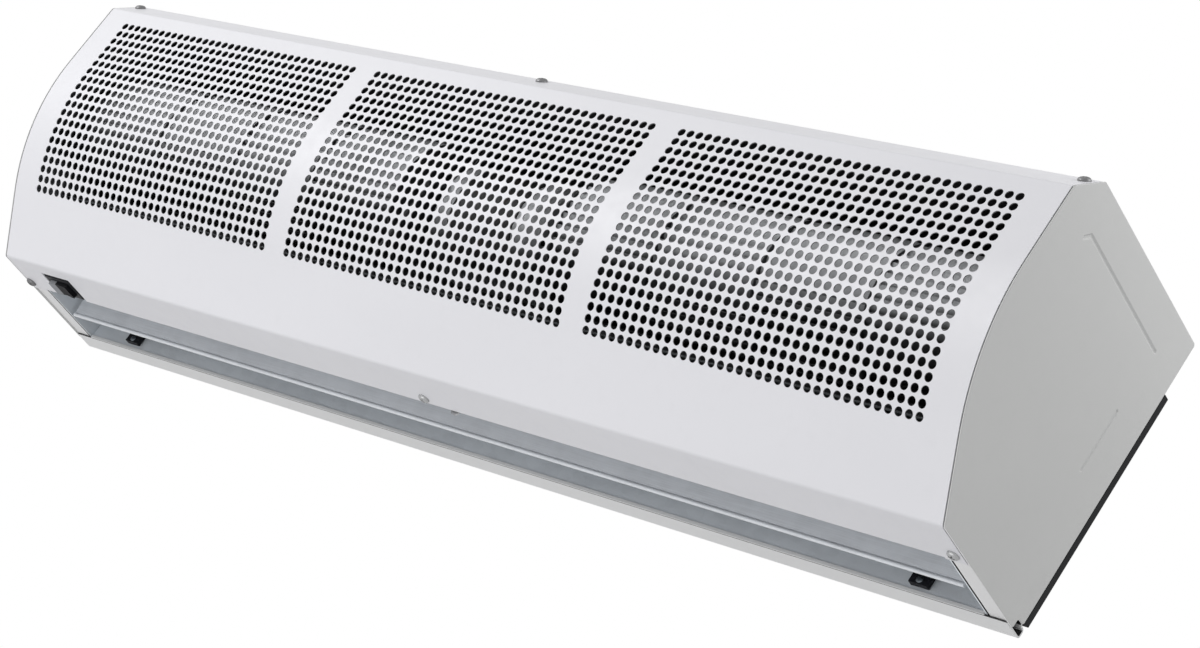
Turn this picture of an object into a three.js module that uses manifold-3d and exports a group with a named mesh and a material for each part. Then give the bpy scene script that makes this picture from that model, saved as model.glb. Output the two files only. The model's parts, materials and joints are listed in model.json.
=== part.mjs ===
// Wall-mounted air curtain: a cross-flow fan unit that hangs above a doorway and blows a sheet of air down.
// Millimetres, +Z up as installed. X runs along the unit, the front faces -Y and the wall is the plane Y = 0.
// The origin is the middle of the wall plate's back face.
// Sections are drawn as [front, down] pairs: the distance in front of the casing's back and below its top.

import * as THREE from "three";
import { mergeGeometries, mergeVertices } from "three/addons/utils/BufferGeometryUtils.js";
import Module from "manifold-3d";

const wasm = await Module();
wasm.setup();

// ---------- Driving dimensions ----------

const sheet = 1.2; // steel sheet of the casing, cover, end caps and air guides
const seat = 0.3; // gap left between pieces that rest on each other
const runningFit = 0.15; // radial gap of a shaft in its bearing
const unitLength = 900; // over the end caps
const bendRadius = 2; // outside of a bend in the casing, cover and end caps
const bendSteps = 2; // facets of a bend, one in the pieces inside
const sharpestFacet = 15; // degrees; a corner that turns by more than this is a bend

// Fan and air passage: these set the casing's depth and height
const impellerRadius = 52;
const topGap = 36; // casing top to impeller
const lipDepth = 12; // casing's bottom lip, and the plane of the rear nozzle wall
const scrollGap = 26; // impeller to the rear nozzle wall
const inletGap = 28.4; // impeller to the perforated front
const nozzleHeight = 76; // impeller to the bottom of the unit
const outletWidth = 57.5; // rear nozzle wall to the cover's lip

// Front cover
const chamfer = 20.9; // 45 degree corner between top and front
const coverTopMargin = 1; // cover's upper edge below the start of the chamfer
const coverFlatDrop = 76; // top of the unit to the start of the curve
const coverArcRadius = 165;
const coverArcSweep = 37; // degrees
const lipRise = 9; // upstand along the cover's lip
const holePitch = 7.5;
const holeDiameter = 5.5;
const holesPerCut = 3; // each modelled opening has the open area of a block of this many holes each way
const cutSides = 4;
const fieldCount = 3; // perforated fields side by side
const fieldEndMargin = 28.8; // cover end to the first column of holes
const fieldBridge = 26; // last column of one field to the first of the next
const fieldTopMargin = 35.2; // level of the unit's top to the first row, down the front face
const fieldHeight = 142.5; // first row to last row, along the front

// Casing, end caps and side plates
const casingFlange = 18; // 45 degree flange under the cover's chamfer
const footHeight = 7; // step at the bottom of the casing's back that bears on the wall
const capFlange = 16; // end cap's turned-in rim
const footNotch = 7; // corner left open in the end caps beside the foot
const creaseWidth = 3; // pressed lines on the end caps
const creaseDepth = 0.5;
const creaseTopInset = 27;
const creaseBackInset = 29;
const creaseFrontInset = 31;
const backCreaseDrop = 75; // casing top to the start of the line beside the back
const backCreaseLength = 43;

// Air guides
const guideStartAngle = 60; // degrees above the level of the shaft, behind it
const guideStartGap = 5; // impeller to the guide's upper end
const guideFlange = 14;
const guideSteps = 7;
const tongueGap = 6.8; // impeller to the tongue
const tongueRise = 11.2; // top of the nozzle's front wall below the tongue's tip
const nozzleLean = 5.4; // front wall leans forward by this much
const tongueBehind = 2; // tongue's tip in front of the shaft's axis
const tongueDepth = 20; // tongue's flat part, front to back
const tongueFall = 3; // its front edge below the tip
const tongueLip = 8; // front to back of the tongue's turned-down edge
const trayMargin = 3; // tray's front edge behind the cover's bottom corner

// Motor and rotor
const motorRadius = 42;
const statorLength = 60;
const statorBore = 22;
const bellLength = 20;
const bellWall = 2.5;
const bossRadius = 14;
const bossLength = 8;
const bellCorner = 6; // chamfer between the bell's side and its end
const ventCount = 6; // cooling slots in each bell's end
const ventWidth = 5;
const ventLength = 12;
const ventRadius = 26; // middle of the slots to the axis
const shaftRadius = 5;
const shaftOverhang = 34; // shaft beyond the motor's bosses
const shaftSides = 16;
const rotorGap = 0.6;
const bayGap = 18; // motor's boss to the impeller's first disc
const bushLength = 14;
const bushRadius = 16;
const bushFlange = 5;
const bushFlangeThickness = 2;
const discThickness = 1.2;
const discRim = 3; // ring that a middle disc keeps inside the blades
const bladeCount = 16;
const bladeSegments = 3; // stretches of blade between discs
const bladeDepth = 11;
const bladeInset = 1.5; // blade's outer edge inside the disc's
const bladeThickness = 1;
const bladeLean = 14; // degrees that a blade's outer edge runs ahead of its inner edge
const bladeCamber = 1.8; // hollow of the blade
const stubRadius = 4;
const stubFlangeRadius = 13;
const stubFlangeThickness = 2;
const stubReach = 3; // stub shaft beyond its bearing
const bearingLength = 10;
const bearingWall = 5;
const bearingSides = 12;
const bearingRubberWall = 6;
const rubberFlange = 3;
const rubberFlangeThickness = 3;

// Motor carrier
const rubberRingWall = 6;
const hangerSheet = 1.5;
const hangerHalfWidth = 26;
const strapWall = 6;
const strapEar = 4; // height of the strap's flat ends
const strapStart = 168; // degrees round the ring's lower half, from end to end
const strapEnd = 12;

// Deflector vane
const vaneEdgeFront = 38.5;
const vaneEdgeRise = 1; // vane's lower edge above the bottom of the unit
const vaneHeight = 45;
const vaneLean = 6; // vane's upper edge ahead of its lower edge
const vaneBead = 1.6; // radius of the rolled lower edge
const vaneEndGap = 3;
const pivotRise = 26; // pivot above the bottom of the unit
const pivotBehind = 6.6; // pivot behind the vane
const pinRadius = 1.75;
const pinReach = 0.7; // pin beyond the vane's ears
const eyeWall = 2.4;
const earThickness = 1.5;
const earHalfHeight = 8; // where an ear leaves the vane, above and below the pivot
const clipWidth = 14;
const clipInset = 68.5; // unit's end to the middle of a vane clip
const clipFootHeight = 30;
const clipFootDepth = 2;
const clipFootRise = 5; // foot above the bottom of the unit

// Rocker switch, in a notch of the cover near its left end
const switchInset = 53; // unit's left end to the middle of the switch
const switchLength = 30;
const switchWidth = 21;
const switchBezel = 1.5;
const switchWall = 2;
const switchBody = 20;
const switchSetback = 3.2; // cover's lip to the switch
const notchGap = 2;
const rockerRise = 3; // pivot to the middle of the rocker's face
const rockerShoulder = 2; // pivot to the upper end of the rocker's ends
const rockerBack = 6; // pivot to the rocker's back
const rockerCrown = 170; // degrees between the rocker's two faces

// Electrical parts on the tray
const terminalLength = 56;
const terminalDepth = 20;
const terminalHeight = 14;
const terminalInset = 100; // unit's left end to the terminal block
const terminalPoles = 5;
const terminalWall = 2; // barriers between the poles
const terminalStep = 5; // height of the barriers above the poles
const capacitorSize = [48, 20, 28];
const capacitorInset = 210; // unit's left end to the capacitor
const capacitorEar = [12, 13.4, 2.5];
const leadRadius = 1.8;
const leadSides = 8;

// Wall plate
const wallPlateDepth = 5;
const wallPlateSheet = 1.5;
const wallPlateDrop = 38; // casing top to the wall plate's top
const wallPlateRise = 2; // wall plate above the casing's foot
const hookWidth = 24;
const hookReach = 8;
const hookSheet = 1.5;
const hookDrop = 22; // wall plate's top to the hooks
const hookEndInset = 90; // unit's end to the outer hooks
const hookMiddleOffset = 150; // unit's middle to the inner hooks
const slotMargin = 1; // casing's slot beside a hook
const slotDrop = 2; // and below it
const wallHoleRadius = 3.5;
const wallHoleInset = 24;
const wallHoleEndInset = 50; // unit's end to the outer holes
const wallHoleMiddleOffset = 75; // unit's middle to the inner holes

// Cable entry and screws
const grommetMembrane = 1; // closed until a cable is pushed through
const grommetHole = 10;
const grommetFlange = 3;
const grommetWall = 3;
const grommetRim = 2.2;
const grommetInset = 70; // unit's left end to the cable entry
const grommetDown = 19;
const screwRadius = 1.9;
const screwHeadRadius = 3.8;
const screwHeadHeight = 2;
const screwCrown = 0.7; // where the head's side turns into its crown, as a share of its radius and height
const screwLength = 8;
const holeSides = 8;
const screwInset = 7; // screw to the end of the cover
const chamferScrewReach = 11; // casing's bend to the screws on the chamfer
const bottomScrewInset = 7.5; // cover's lip to the screws beside it
const nozzleScrewX = 24; // screw through the lip's upstand and the nozzle's front wall
const nozzleScrewRise = 4.2; // its axis above the bottom of the unit

// ---------- Derived layout ----------

const axisFront = lipDepth + scrollGap + impellerRadius;
const axisDown = topGap + impellerRadius;
const unitDepth = axisFront + impellerRadius + inletGap;
const unitHeight = axisDown + impellerRadius + nozzleHeight;
const lipFront = lipDepth + outletWidth;
const halfLength = unitLength / 2;
const coverEnd = halfLength - sheet - seat; // casing and cover end inside the caps
const sidePlateOuter = halfLength - capFlange - seat;
const insideEnd = sidePlateOuter - sheet - seat; // air guides end against the side plates
const topDepth = unitDepth - chamfer - (sheet + seat) * Math.SQRT2;
const casingBack = -(wallPlateDepth + seat);
const wallPlateHeight = unitHeight - footHeight - wallPlateRise - wallPlateDrop;
const casingTop = wallPlateHeight / 2 + wallPlateDrop;
const innerFloor = unitHeight - sheet - seat; // lowest level of what stands inside the bottom sheets
const trayTop = innerFloor - sheet;
const bellEnd = statorLength / 2 + seat + bellLength;
const bossEnd = bellEnd + bossLength;
const shaftEnd = bossEnd + shaftOverhang;
const impellerStart = bossEnd + bayGap;
const stubStart = sidePlateOuter - sheet / 2 - bearingLength / 2 - stubFlangeThickness - seat;
const impellerEnd = stubStart - seat;
const stubEnd = sidePlateOuter - sheet / 2 + bearingLength / 2 + stubReach;
const bearingRadius = stubRadius + runningFit + bearingWall;
const rubberRadius = bearingRadius + seat + bearingRubberWall;
const ringRadius = bossRadius + seat + rubberRingWall;
const pivotDown = unitHeight - pivotRise;
const wallFront = lipFront + sheet + seat; // nozzle's front wall, behind the lip's upstand
const switchCentre = -halfLength + switchInset;
const switchFront = lipFront + switchSetback;
const terminalStart = -halfLength + terminalInset;
const capacitorStart = -halfLength + capacitorInset;
const grommetX = -halfLength + grommetInset;
const fromBothEnds = (inset, middle) => [-halfLength + inset, -middle, middle, halfLength - inset];
const hookXs = fromBothEnds(hookEndInset, hookMiddleOffset);
const wallHoleXs = fromBothEnds(wallHoleEndInset, wallHoleMiddleOffset);

const radians = THREE.MathUtils.degToRad;
const yOf = (front) => casingBack - front;
const zOf = (down) => casingTop - down;
const shaftCentre = [yOf(axisFront), zOf(axisDown)];

// ---------- Shape helpers ----------

// A closed geometry as a solid that can be joined and cut.
function solid(geometry) {
  const bare = new THREE.BufferGeometry().setIndex(geometry.index);
  bare.setAttribute("position", geometry.getAttribute("position"));
  const merged = mergeVertices(bare, 1e-4);
  return new wasm.Manifold(
    new wasm.Mesh({
      numProp: 3,
      vertProperties: new Float32Array(merged.attributes.position.array),
      triVerts: new Uint32Array(merged.index.array),
    }),
  );
}

// A solid as a geometry with flat faces.
function surface(body) {
  const mesh = body.getMesh();
  const geometry = new THREE.BufferGeometry();
  geometry.setAttribute("position", new THREE.BufferAttribute(mesh.vertProperties, mesh.numProp));
  geometry.setIndex(new THREE.BufferAttribute(mesh.triVerts, 1));
  const flat = geometry.toNonIndexed();
  flat.computeVertexNormals();
  return flat;
}

const joined = (bodies) => bodies.reduce((sum, body) => sum.add(body));
const cut = (body, cutters) => cutters.reduce((rest, cutter) => rest.subtract(cutter), body);

// The points as a shape whose outline runs anticlockwise.
function outlineShape(points) {
  const turned = THREE.ShapeUtils.isClockWise(points) ? [...points].reverse() : points;
  return new THREE.Shape(turned);
}

// An outline of [front, down] points, extruded along X from x0 to x1.
function alongX(section, x0, x1) {
  const points = section.map(([front, down]) => new THREE.Vector2(yOf(front), zOf(down)));
  const geometry = new THREE.ExtrudeGeometry(outlineShape(points), { depth: x1 - x0, bevelEnabled: false });
  const axes = new THREE.Matrix4().set(0, 0, 1, x0, 1, 0, 0, 0, 0, 1, 0, 0, 0, 0, 0, 1);
  return geometry.applyMatrix4(axes);
}

// A box between two corners in the part's own X, Y and Z.
function block([x0, y0, z0], [x1, y1, z1]) {
  const geometry = new THREE.BoxGeometry(Math.abs(x1 - x0), Math.abs(y1 - y0), Math.abs(z1 - z0));
  return geometry.translate((x0 + x1) / 2, (y0 + y1) / 2, (z0 + z1) / 2);
}

// A closed outline of [radius, x] points, turned about the shaft's axis.
function turned(profile, sides = shaftSides, [y, z] = shaftCentre) {
  const points = profile.map(([radius, x]) => new THREE.Vector2(radius, x));
  const outline = THREE.ShapeUtils.isClockWise(points) ? points.reverse() : points;
  const geometry = new THREE.LatheGeometry([...outline, outline[0]], sides);
  return geometry.rotateZ(-Math.PI / 2).translate(0, y, z);
}

// A ring or tube about the shaft's axis.
const tube = (inner, outer, x0, x1, sides, centre) =>
  turned([[inner, x0], [outer, x0], [outer, x1], [inner, x1]], sides, centre);

// A round bar parallel to X.
function bar(radius, x0, x1, sides, [y, z]) {
  const geometry = new THREE.CylinderGeometry(radius, radius, x1 - x0, sides);
  return geometry.rotateZ(-Math.PI / 2).translate((x0 + x1) / 2, y, z);
}

// The path moved sideways by a distance, to the left of its direction, with mitred corners.
function offset(path, distance) {
  return path.map((point, i) => {
    const sides = [];
    if (i > 0) sides.push([path[i - 1], point]);
    if (i < path.length - 1) sides.push([point, path[i + 1]]);
    const normals = sides.map(([a, b]) => {
      const length = Math.hypot(b[0] - a[0], b[1] - a[1]);
      return [(a[1] - b[1]) / length, (b[0] - a[0]) / length];
    });
    const sum = [0, 1].map((k) => normals.reduce((total, n) => total + n[k], 0));
    const scale = distance / ((sum[0] ** 2 + sum[1] ** 2) / sides.length);
    return [point[0] + sum[0] * scale, point[1] + sum[1] * scale];
  });
}

// The section of a bent sheet: the path is one face, and the other lies to its left.
const bent = (path, thickness = sheet) => [...path, ...offset(path, thickness).reverse()];

// Points on an arc about a centre, from one angle to another in degrees; 0 points forward and 90 down.
function arc([front, down], radius, from, to, steps) {
  return Array.from({ length: steps + 1 }, (_, i) => {
    const angle = radians(from + ((to - from) * i) / steps);
    return [front + radius * Math.cos(angle), down + radius * Math.sin(angle)];
  });
}

// The path with round bends: each corner that isn't a facet of a curve becomes an arc.
function rounded(path, steps = bendSteps) {
  return path.flatMap((point, i) => {
    if (i === 0 || i === path.length - 1) return [point];
    const corner = new THREE.Vector2(...point);
    const [back, on] = [path[i - 1], path[i + 1]].map((end) =>
      new THREE.Vector2(...end).sub(corner).normalize(),
    );
    const turn = Math.PI - back.angleTo(on);
    if (turn < radians(sharpestFacet)) return [point];
    const toCentre = back.clone().add(on).setLength(bendRadius / Math.cos(turn / 2));
    const centre = corner.clone().add(toCentre);
    const [start, end] = [back, on].map((side) =>
      side.clone().multiplyScalar(bendRadius * Math.tan(turn / 2)).sub(toCentre),
    );
    return Array.from({ length: steps + 1 }, (_, k) => {
      const share = k / steps;
      const spoke = start.clone().multiplyScalar(Math.sin((1 - share) * turn) / Math.sin(turn));
      return spoke.addScaledVector(end, Math.sin(share * turn) / Math.sin(turn)).add(centre).toArray();
    });
  });
}

// The same for a closed outline, whose first and last points are corners too.
function roundedLoop(points, steps) {
  const last = points.length - 1;
  return rounded([points[last], ...points, points[0]], steps).slice(1, -1);
}

const mirrored = (geometry) => {
  const copy = geometry.clone().scale(-1, 1, 1);
  const flat = copy.index ? copy.toNonIndexed() : copy;
  const p = flat.attributes.position.array;
  for (let i = 0; i < p.length; i += 9)
    for (let k = 0; k < 3; k++) [p[i + 3 + k], p[i + 6 + k]] = [p[i + 6 + k], p[i + 3 + k]];
  const bare = new THREE.BufferGeometry();
  bare.setAttribute("position", new THREE.BufferAttribute(p, 3));
  bare.computeVertexNormals();
  return bare;
};

// ---------- Unit outline ----------

const rowPitch = holePitch * holesPerCut;
const arcCentre = [unitDepth - coverArcRadius, coverFlatDrop];
const arcLength = coverArcRadius * radians(coverArcSweep);
const arcSteps = Math.max(1, Math.round(arcLength / rowPitch));
const arcPoints = arc(arcCentre, coverArcRadius, 0, coverArcSweep, arcSteps);
const arcEnd = arcPoints[arcSteps];
const bottomFront = arcEnd[0] - (unitHeight - arcEnd[1]) * Math.tan(radians(coverArcSweep));

// Front face from the chamfer's upper edge to the bottom corner, outer side.
const frontPath = [
  [unitDepth - chamfer, 0],
  [unitDepth, chamfer],
  ...arcPoints,
  [bottomFront, unitHeight],
];

// The whole outline that an end cap has, starting at the bottom of the back.
const endOutline = [[0, unitHeight], [0, 0], ...frontPath];

// The outline of the casing's sheet with the cover's curve, which passes under the cover's chamfer.
const innerOutline = [
  [0, unitHeight],
  [0, 0],
  [topDepth, 0],
  [unitDepth, unitDepth - topDepth],
  ...arcPoints,
  [bottomFront, unitHeight],
];

// That outline moved inwards, with round bends.
function insetOutline(distance) {
  const n = innerOutline.length;
  const wrapped = [innerOutline[n - 1], ...innerOutline, innerOutline[0]];
  return roundedLoop(offset(wrapped, distance).slice(1, n + 1), 1);
}

// A point of the front face at a distance along it from the top, and the face's slope there in degrees.
function onFront(distance) {
  if (distance <= coverFlatDrop) return { point: [unitDepth, distance], slope: 0 };
  const slope = Math.min((distance - coverFlatDrop) / coverArcRadius, radians(coverArcSweep));
  const past = distance - coverFlatDrop - slope * coverArcRadius;
  const front = arcCentre[0] + coverArcRadius * Math.cos(slope) - past * Math.sin(slope);
  const down = arcCentre[1] + coverArcRadius * Math.sin(slope) + past * Math.cos(slope);
  return { point: [front, down], slope };
}

// ---------- Casing, cover and caps ----------

// Cutter for a screw whose axis is turned from +Z towards the front, at a point of its outer seat.
function screwHole(x, [front, down], tilt) {
  const radius = screwRadius + seat;
  const geometry = new THREE.CylinderGeometry(radius, radius, 2 * screwLength, holeSides);
  return solid(geometry.rotateX(Math.PI / 2 + tilt).translate(x, yOf(front), zOf(down)));
}

const screwXs = [-coverEnd + screwInset, 0, coverEnd - screwInset];
const chamferTilt = radians(45); // a screw's axis turned from +Z towards the front
const bottomTilt = radians(180);
const nozzleTilt = radians(-90);
const chamferScrewPoint = [
  topDepth + (chamferScrewReach + sheet + seat) / Math.SQRT2,
  (chamferScrewReach - sheet - seat) / Math.SQRT2,
];
const bottomScrewPoint = [lipFront + bottomScrewInset, unitHeight];
const nozzleScrewPoint = [lipFront, unitHeight - nozzleScrewRise];

function casing() {
  const flangeRun = casingFlange / Math.SQRT2;
  const path = [
    [lipDepth, unitHeight],
    [-wallPlateDepth, unitHeight],
    [-wallPlateDepth, unitHeight - footHeight],
    [0, unitHeight - footHeight],
    [0, 0],
    [topDepth, 0],
    [topDepth + flangeRun, flangeRun],
  ];
  const slots = hookXs.map((x) =>
    solid(
      block(
        [x - hookWidth / 2 - slotMargin, casingBack + seat, hookTop + seat],
        [
          x + hookWidth / 2 + slotMargin,
          casingBack - sheet - seat,
          hookTop - hookSheet - hookReach - slotDrop,
        ],
      ),
    ),
  );
  const screws = screwXs.map((x) => screwHole(x, chamferScrewPoint, chamferTilt));
  const entry = new THREE.CylinderGeometry(grommetHole, grommetHole, 4 * sheet, shaftSides);
  entry.translate(grommetX, casingBack, zOf(grommetDown));
  return cut(solid(alongX(bent(rounded(path)), -coverEnd, coverEnd)), [...slots, ...screws, solid(entry)]);
}

// One cutter for each modelled opening of the perforated fields.
function perforation() {
  const fieldWidth =
    (2 * (coverEnd - fieldEndMargin) - (fieldCount - 1) * fieldBridge) / fieldCount;
  const columns = Math.round((Math.round(fieldWidth / holePitch) + 1) / holesPerCut);
  const rows = Math.round((Math.round(fieldHeight / holePitch) + 1) / holesPerCut);
  const radius = (holesPerCut * holeDiameter * Math.sqrt(Math.PI / 2)) / 2;
  const cutters = [];
  for (let field = 0; field < fieldCount; field++) {
    const middle = (field - (fieldCount - 1) / 2) * (fieldWidth + fieldBridge);
    for (let row = 0; row < rows; row++) {
      const along = fieldTopMargin + fieldHeight / 2 + (row - (rows - 1) / 2) * rowPitch;
      const { point, slope } = onFront(along);
      for (let column = 0; column < columns; column++) {
        const x = middle + (column - (columns - 1) / 2) * rowPitch;
        const opening = new THREE.CylinderGeometry(radius, radius, 8 * sheet, cutSides);
        opening.rotateY(Math.PI / cutSides).rotateX(slope);
        cutters.push(opening.translate(x, yOf(point[0]), zOf(point[1])));
      }
    }
  }
  return solid(mergeGeometries(cutters));
}

function frontCover() {
  const path = [
    [unitDepth - chamfer + coverTopMargin, coverTopMargin],
    ...frontPath.slice(1),
    [lipFront, unitHeight],
    [lipFront, unitHeight - lipRise],
  ];
  const body = solid(alongX(bent(rounded(path)), -coverEnd, coverEnd));
  const notch = block(
    [switchCentre - switchLength / 2 - notchGap, yOf(lipFront - sheet), zOf(unitHeight + sheet)],
    [
      switchCentre + switchLength / 2 + notchGap,
      yOf(switchFront + switchWidth + notchGap),
      zOf(unitHeight - lipRise - sheet),
    ],
  );
  const screws = screwXs.flatMap((x) => [
    screwHole(x, chamferScrewPoint, chamferTilt),
    screwHole(x, bottomScrewPoint, bottomTilt),
  ]);
  const nozzleScrew = screwHole(nozzleScrewX, nozzleScrewPoint, nozzleTilt);
  const upstandEnds = [-1, 1].map((side) =>
    block(
      [side * insideEnd, yOf(lipFront - sheet), zOf(unitHeight - sheet - seat)],
      [side * halfLength, yOf(lipFront + bendRadius), zOf(unitHeight - lipRise - sheet)],
    ),
  );
  return cut(body, [perforation(), solid(notch), ...upstandEnds.map(solid), ...screws, nozzleScrew]);
}

// Right end cap: a plate with a rim turned in under the casing and the cover, two pressed lines and a notch
// in its lower back corner.
function endCap() {
  const plate = solid(alongX(roundedLoop(endOutline), halfLength - sheet, halfLength));
  const rimOuter = solid(alongX(insetOutline(sheet + seat), halfLength - capFlange, halfLength - sheet / 2));
  const rimInner = solid(
    alongX(insetOutline(2 * sheet + seat), halfLength - capFlange - sheet, halfLength - sheet),
  );
  const creases = [
    [
      [creaseBackInset, creaseTopInset],
      [unitDepth - creaseFrontInset, creaseTopInset + creaseWidth],
    ],
    [
      [creaseBackInset, backCreaseDrop],
      [creaseBackInset + creaseWidth, backCreaseDrop + backCreaseLength],
    ],
  ].map(([[front0, down0], [front1, down1]]) =>
    solid(
      block(
        [halfLength - creaseDepth, yOf(front0), zOf(down0)],
        [halfLength + sheet, yOf(front1), zOf(down1)],
      ),
    ),
  );
  const screws = [
    screwHole(coverEnd - screwInset, chamferScrewPoint, chamferTilt),
    screwHole(coverEnd - screwInset, bottomScrewPoint, bottomTilt),
  ];
  const notch = block(
    [halfLength - capFlange - 2 * sheet, yOf(-sheet), zOf(unitHeight - footNotch)],
    [halfLength + sheet, yOf(footNotch), zOf(unitHeight + sheet)],
  );
  return surface(cut(plate.add(rimOuter.subtract(rimInner)), [...creases, ...screws, solid(notch)]));
}

// ---------- Air guides ----------

// Curved sheet behind the impeller, from the casing's top down to the rear nozzle wall.
function scrollGuide() {
  const wallGap = axisFront - lipDepth - impellerRadius;
  const curve = Array.from({ length: guideSteps + 1 }, (_, i) => {
    const t = 1 - i / guideSteps;
    const angle = radians(guideStartAngle * t);
    const radius = impellerRadius + guideStartGap + (wallGap - guideStartGap) * (1 - t * t);
    return [axisFront - radius * Math.cos(angle), axisDown - radius * Math.sin(angle)];
  });
  const legFront = curve[0][0];
  const underTop = sheet + seat;
  const path = [
    [legFront - guideFlange, underTop],
    [legFront, underTop],
    ...curve,
    [lipDepth, innerFloor],
  ];
  return alongX(bent(rounded(path)), -insideEnd, insideEnd);
}

// Front nozzle wall: a tray inside the cover's bottom, the wall itself and the tongue under the impeller.
function airTongue() {
  const tipDown = axisDown + impellerRadius + tongueGap;
  const path = [
    [bottomFront - trayMargin, innerFloor],
    [wallFront, innerFloor],
    [wallFront + nozzleLean, tipDown + tongueRise],
    [axisFront - tongueBehind, tipDown],
    [axisFront - tongueBehind + tongueDepth, tipDown + tongueFall],
    [axisFront - tongueBehind + tongueDepth + tongueLip, tipDown + tongueRise],
  ];
  const body = solid(alongX(bent(rounded(path)), -insideEnd, insideEnd));
  const halfHole = switchLength / 2 - switchWall + seat;
  const switchHole = block(
    [switchCentre - halfHole, yOf(switchFront + switchWall - seat), zOf(innerFloor + sheet)],
    [switchCentre + halfHole, yOf(switchFront + switchWidth - switchWall + seat), zOf(trayTop - sheet)],
  );
  const screws = [
    screwHole(0, bottomScrewPoint, bottomTilt),
    screwHole(nozzleScrewX, nozzleScrewPoint, nozzleTilt),
  ];
  return cut(body, [solid(switchHole), ...screws]);
}

// Right side plate: closes the air passage and carries the end bearing.
function sidePlate() {
  const plate = solid(alongX(insetOutline(sheet + seat), sidePlateOuter - sheet, sidePlateOuter));
  const hole = bar(
    rubberRadius + seat,
    sidePlateOuter - 2 * sheet,
    sidePlateOuter + sheet,
    shaftSides,
    shaftCentre,
  );
  return surface(plate.subtract(solid(hole)));
}

// ---------- Motor and rotor ----------

function stator() {
  return tube(statorBore, motorRadius, -statorLength / 2, statorLength / 2, 24);
}

// Right end bell with the boss that sits in the rubber ring and carries the shaft.
function endBell() {
  const start = statorLength / 2 + seat;
  const bore = shaftRadius + runningFit;
  const shell = turned([
    [bore, bellEnd - bellWall],
    [motorRadius - bellWall - bellCorner, bellEnd - bellWall],
    [motorRadius - bellWall, bellEnd - bellWall - bellCorner],
    [motorRadius - bellWall, start],
    [motorRadius, start],
    [motorRadius, bellEnd - bellCorner],
    [motorRadius - bellCorner, bellEnd],
    [bossRadius, bellEnd],
    [bossRadius, bossEnd],
    [bore, bossEnd],
  ]);
  const vents = Array.from({ length: ventCount }, (_, i) => {
    const slot = new THREE.BoxGeometry(4 * bellWall, ventLength, ventWidth);
    slot.translate(bellEnd - bellWall / 2, ventRadius, 0).rotateX((2 * Math.PI * (i + 0.5)) / ventCount);
    return solid(slot.translate(0, ...shaftCentre));
  });
  return surface(cut(solid(shell), vents));
}

const rubberRing = () => tube(bossRadius + seat, ringRadius, bellEnd + seat, bossEnd);

// Bracket under the casing's top whose two arms hold the motor's rubber rings from above.
function motorHanger() {
  const armX = (bellEnd + seat + bossEnd) / 2;
  const front = axisFront - hangerHalfWidth;
  const rear = axisFront + hangerHalfWidth;
  const top = sheet + seat;
  const outer = armX + hangerSheet / 2;
  const plate = block([-outer, yOf(front), zOf(top)], [outer, yOf(rear), zOf(top + hangerSheet)]);
  const arms = [-1, 1].map((side) =>
    block(
      [side * (outer - hangerSheet), yOf(front), zOf(top)],
      [side * outer, yOf(rear), zOf(axisDown - seat / 2)],
    ),
  );
  const seatCut = bar(ringRadius + seat, -outer - hangerSheet, outer + hangerSheet, shaftSides, shaftCentre);
  return joined([plate, ...arms].map(solid)).subtract(solid(seatCut));
}

// Right strap that closes the ring's seat from below.
function motorStrap() {
  const armX = (bellEnd + seat + bossEnd) / 2;
  const outer = ringRadius + seat + strapWall;
  const section = [
    [axisFront - hangerHalfWidth, axisDown + seat / 2],
    [axisFront - hangerHalfWidth, axisDown + seat / 2 + strapEar],
    ...arc([axisFront, axisDown], outer, strapStart, strapEnd, shaftSides / 2),
    [axisFront + hangerHalfWidth, axisDown + seat / 2 + strapEar],
    [axisFront + hangerHalfWidth, axisDown + seat / 2],
  ];
  const body = solid(alongX(section, armX - hangerSheet / 2, armX + hangerSheet / 2));
  const ring = bar(ringRadius + seat, armX - hangerSheet, armX + hangerSheet, shaftSides, shaftCentre);
  return surface(body.subtract(solid(ring)));
}

const motorShaft = () => bar(shaftRadius, -shaftEnd, shaftEnd, shaftSides, shaftCentre);

const rotorCore = () =>
  tube(shaftRadius + seat, statorBore - rotorGap, -statorLength / 2, statorLength / 2);

// Right rubber bush between the shaft and the impeller's first disc.
function hubBush() {
  const bore = shaftRadius + seat;
  const face = impellerStart - seat;
  return turned([
    [bore, face - bushFlangeThickness],
    [bushRadius + bushFlange, face - bushFlangeThickness],
    [bushRadius + bushFlange, face],
    [bushRadius, face],
    [bushRadius, face + bushLength],
    [bore, face + bushLength],
  ]);
}

// Right cross-flow impeller: discs joined by a ring of hollow, leaning blades.
function impeller() {
  const inner = impellerRadius - bladeDepth;
  const outer = impellerRadius - bladeInset;
  const pitch = (impellerEnd - impellerStart - discThickness) / bladeSegments;
  const discs = Array.from({ length: bladeSegments + 1 }, (_, i) => {
    const x = impellerStart + i * pitch;
    const bore = i === 0 ? bushRadius + seat : i === bladeSegments ? stubFlangeRadius / 2 : inner - discRim;
    return solid(tube(bore, impellerRadius, x, x + discThickness, bladeCount));
  });
  const blades = Array.from({ length: bladeCount }, (_, i) => {
    const start = radians(((i + 0.5) * 360) / bladeCount);
    const lead = start + radians(bladeLean);
    const root = [inner * Math.cos(start), inner * Math.sin(start)];
    const tip = [outer * Math.cos(lead), outer * Math.sin(lead)];
    const length = Math.hypot(tip[0] - root[0], tip[1] - root[1]);
    const hollow = [
      (root[0] + tip[0]) / 2 + ((tip[1] - root[1]) * bladeCamber) / length,
      (root[1] + tip[1]) / 2 - ((tip[0] - root[0]) * bladeCamber) / length,
    ];
    const section = bent([root, hollow, tip], bladeThickness).map(([a, b]) => [axisFront + a, axisDown + b]);
    return solid(alongX(section, impellerStart + discThickness / 2, impellerEnd - discThickness / 2));
  });
  return surface(joined([...discs, ...blades]));
}

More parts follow.
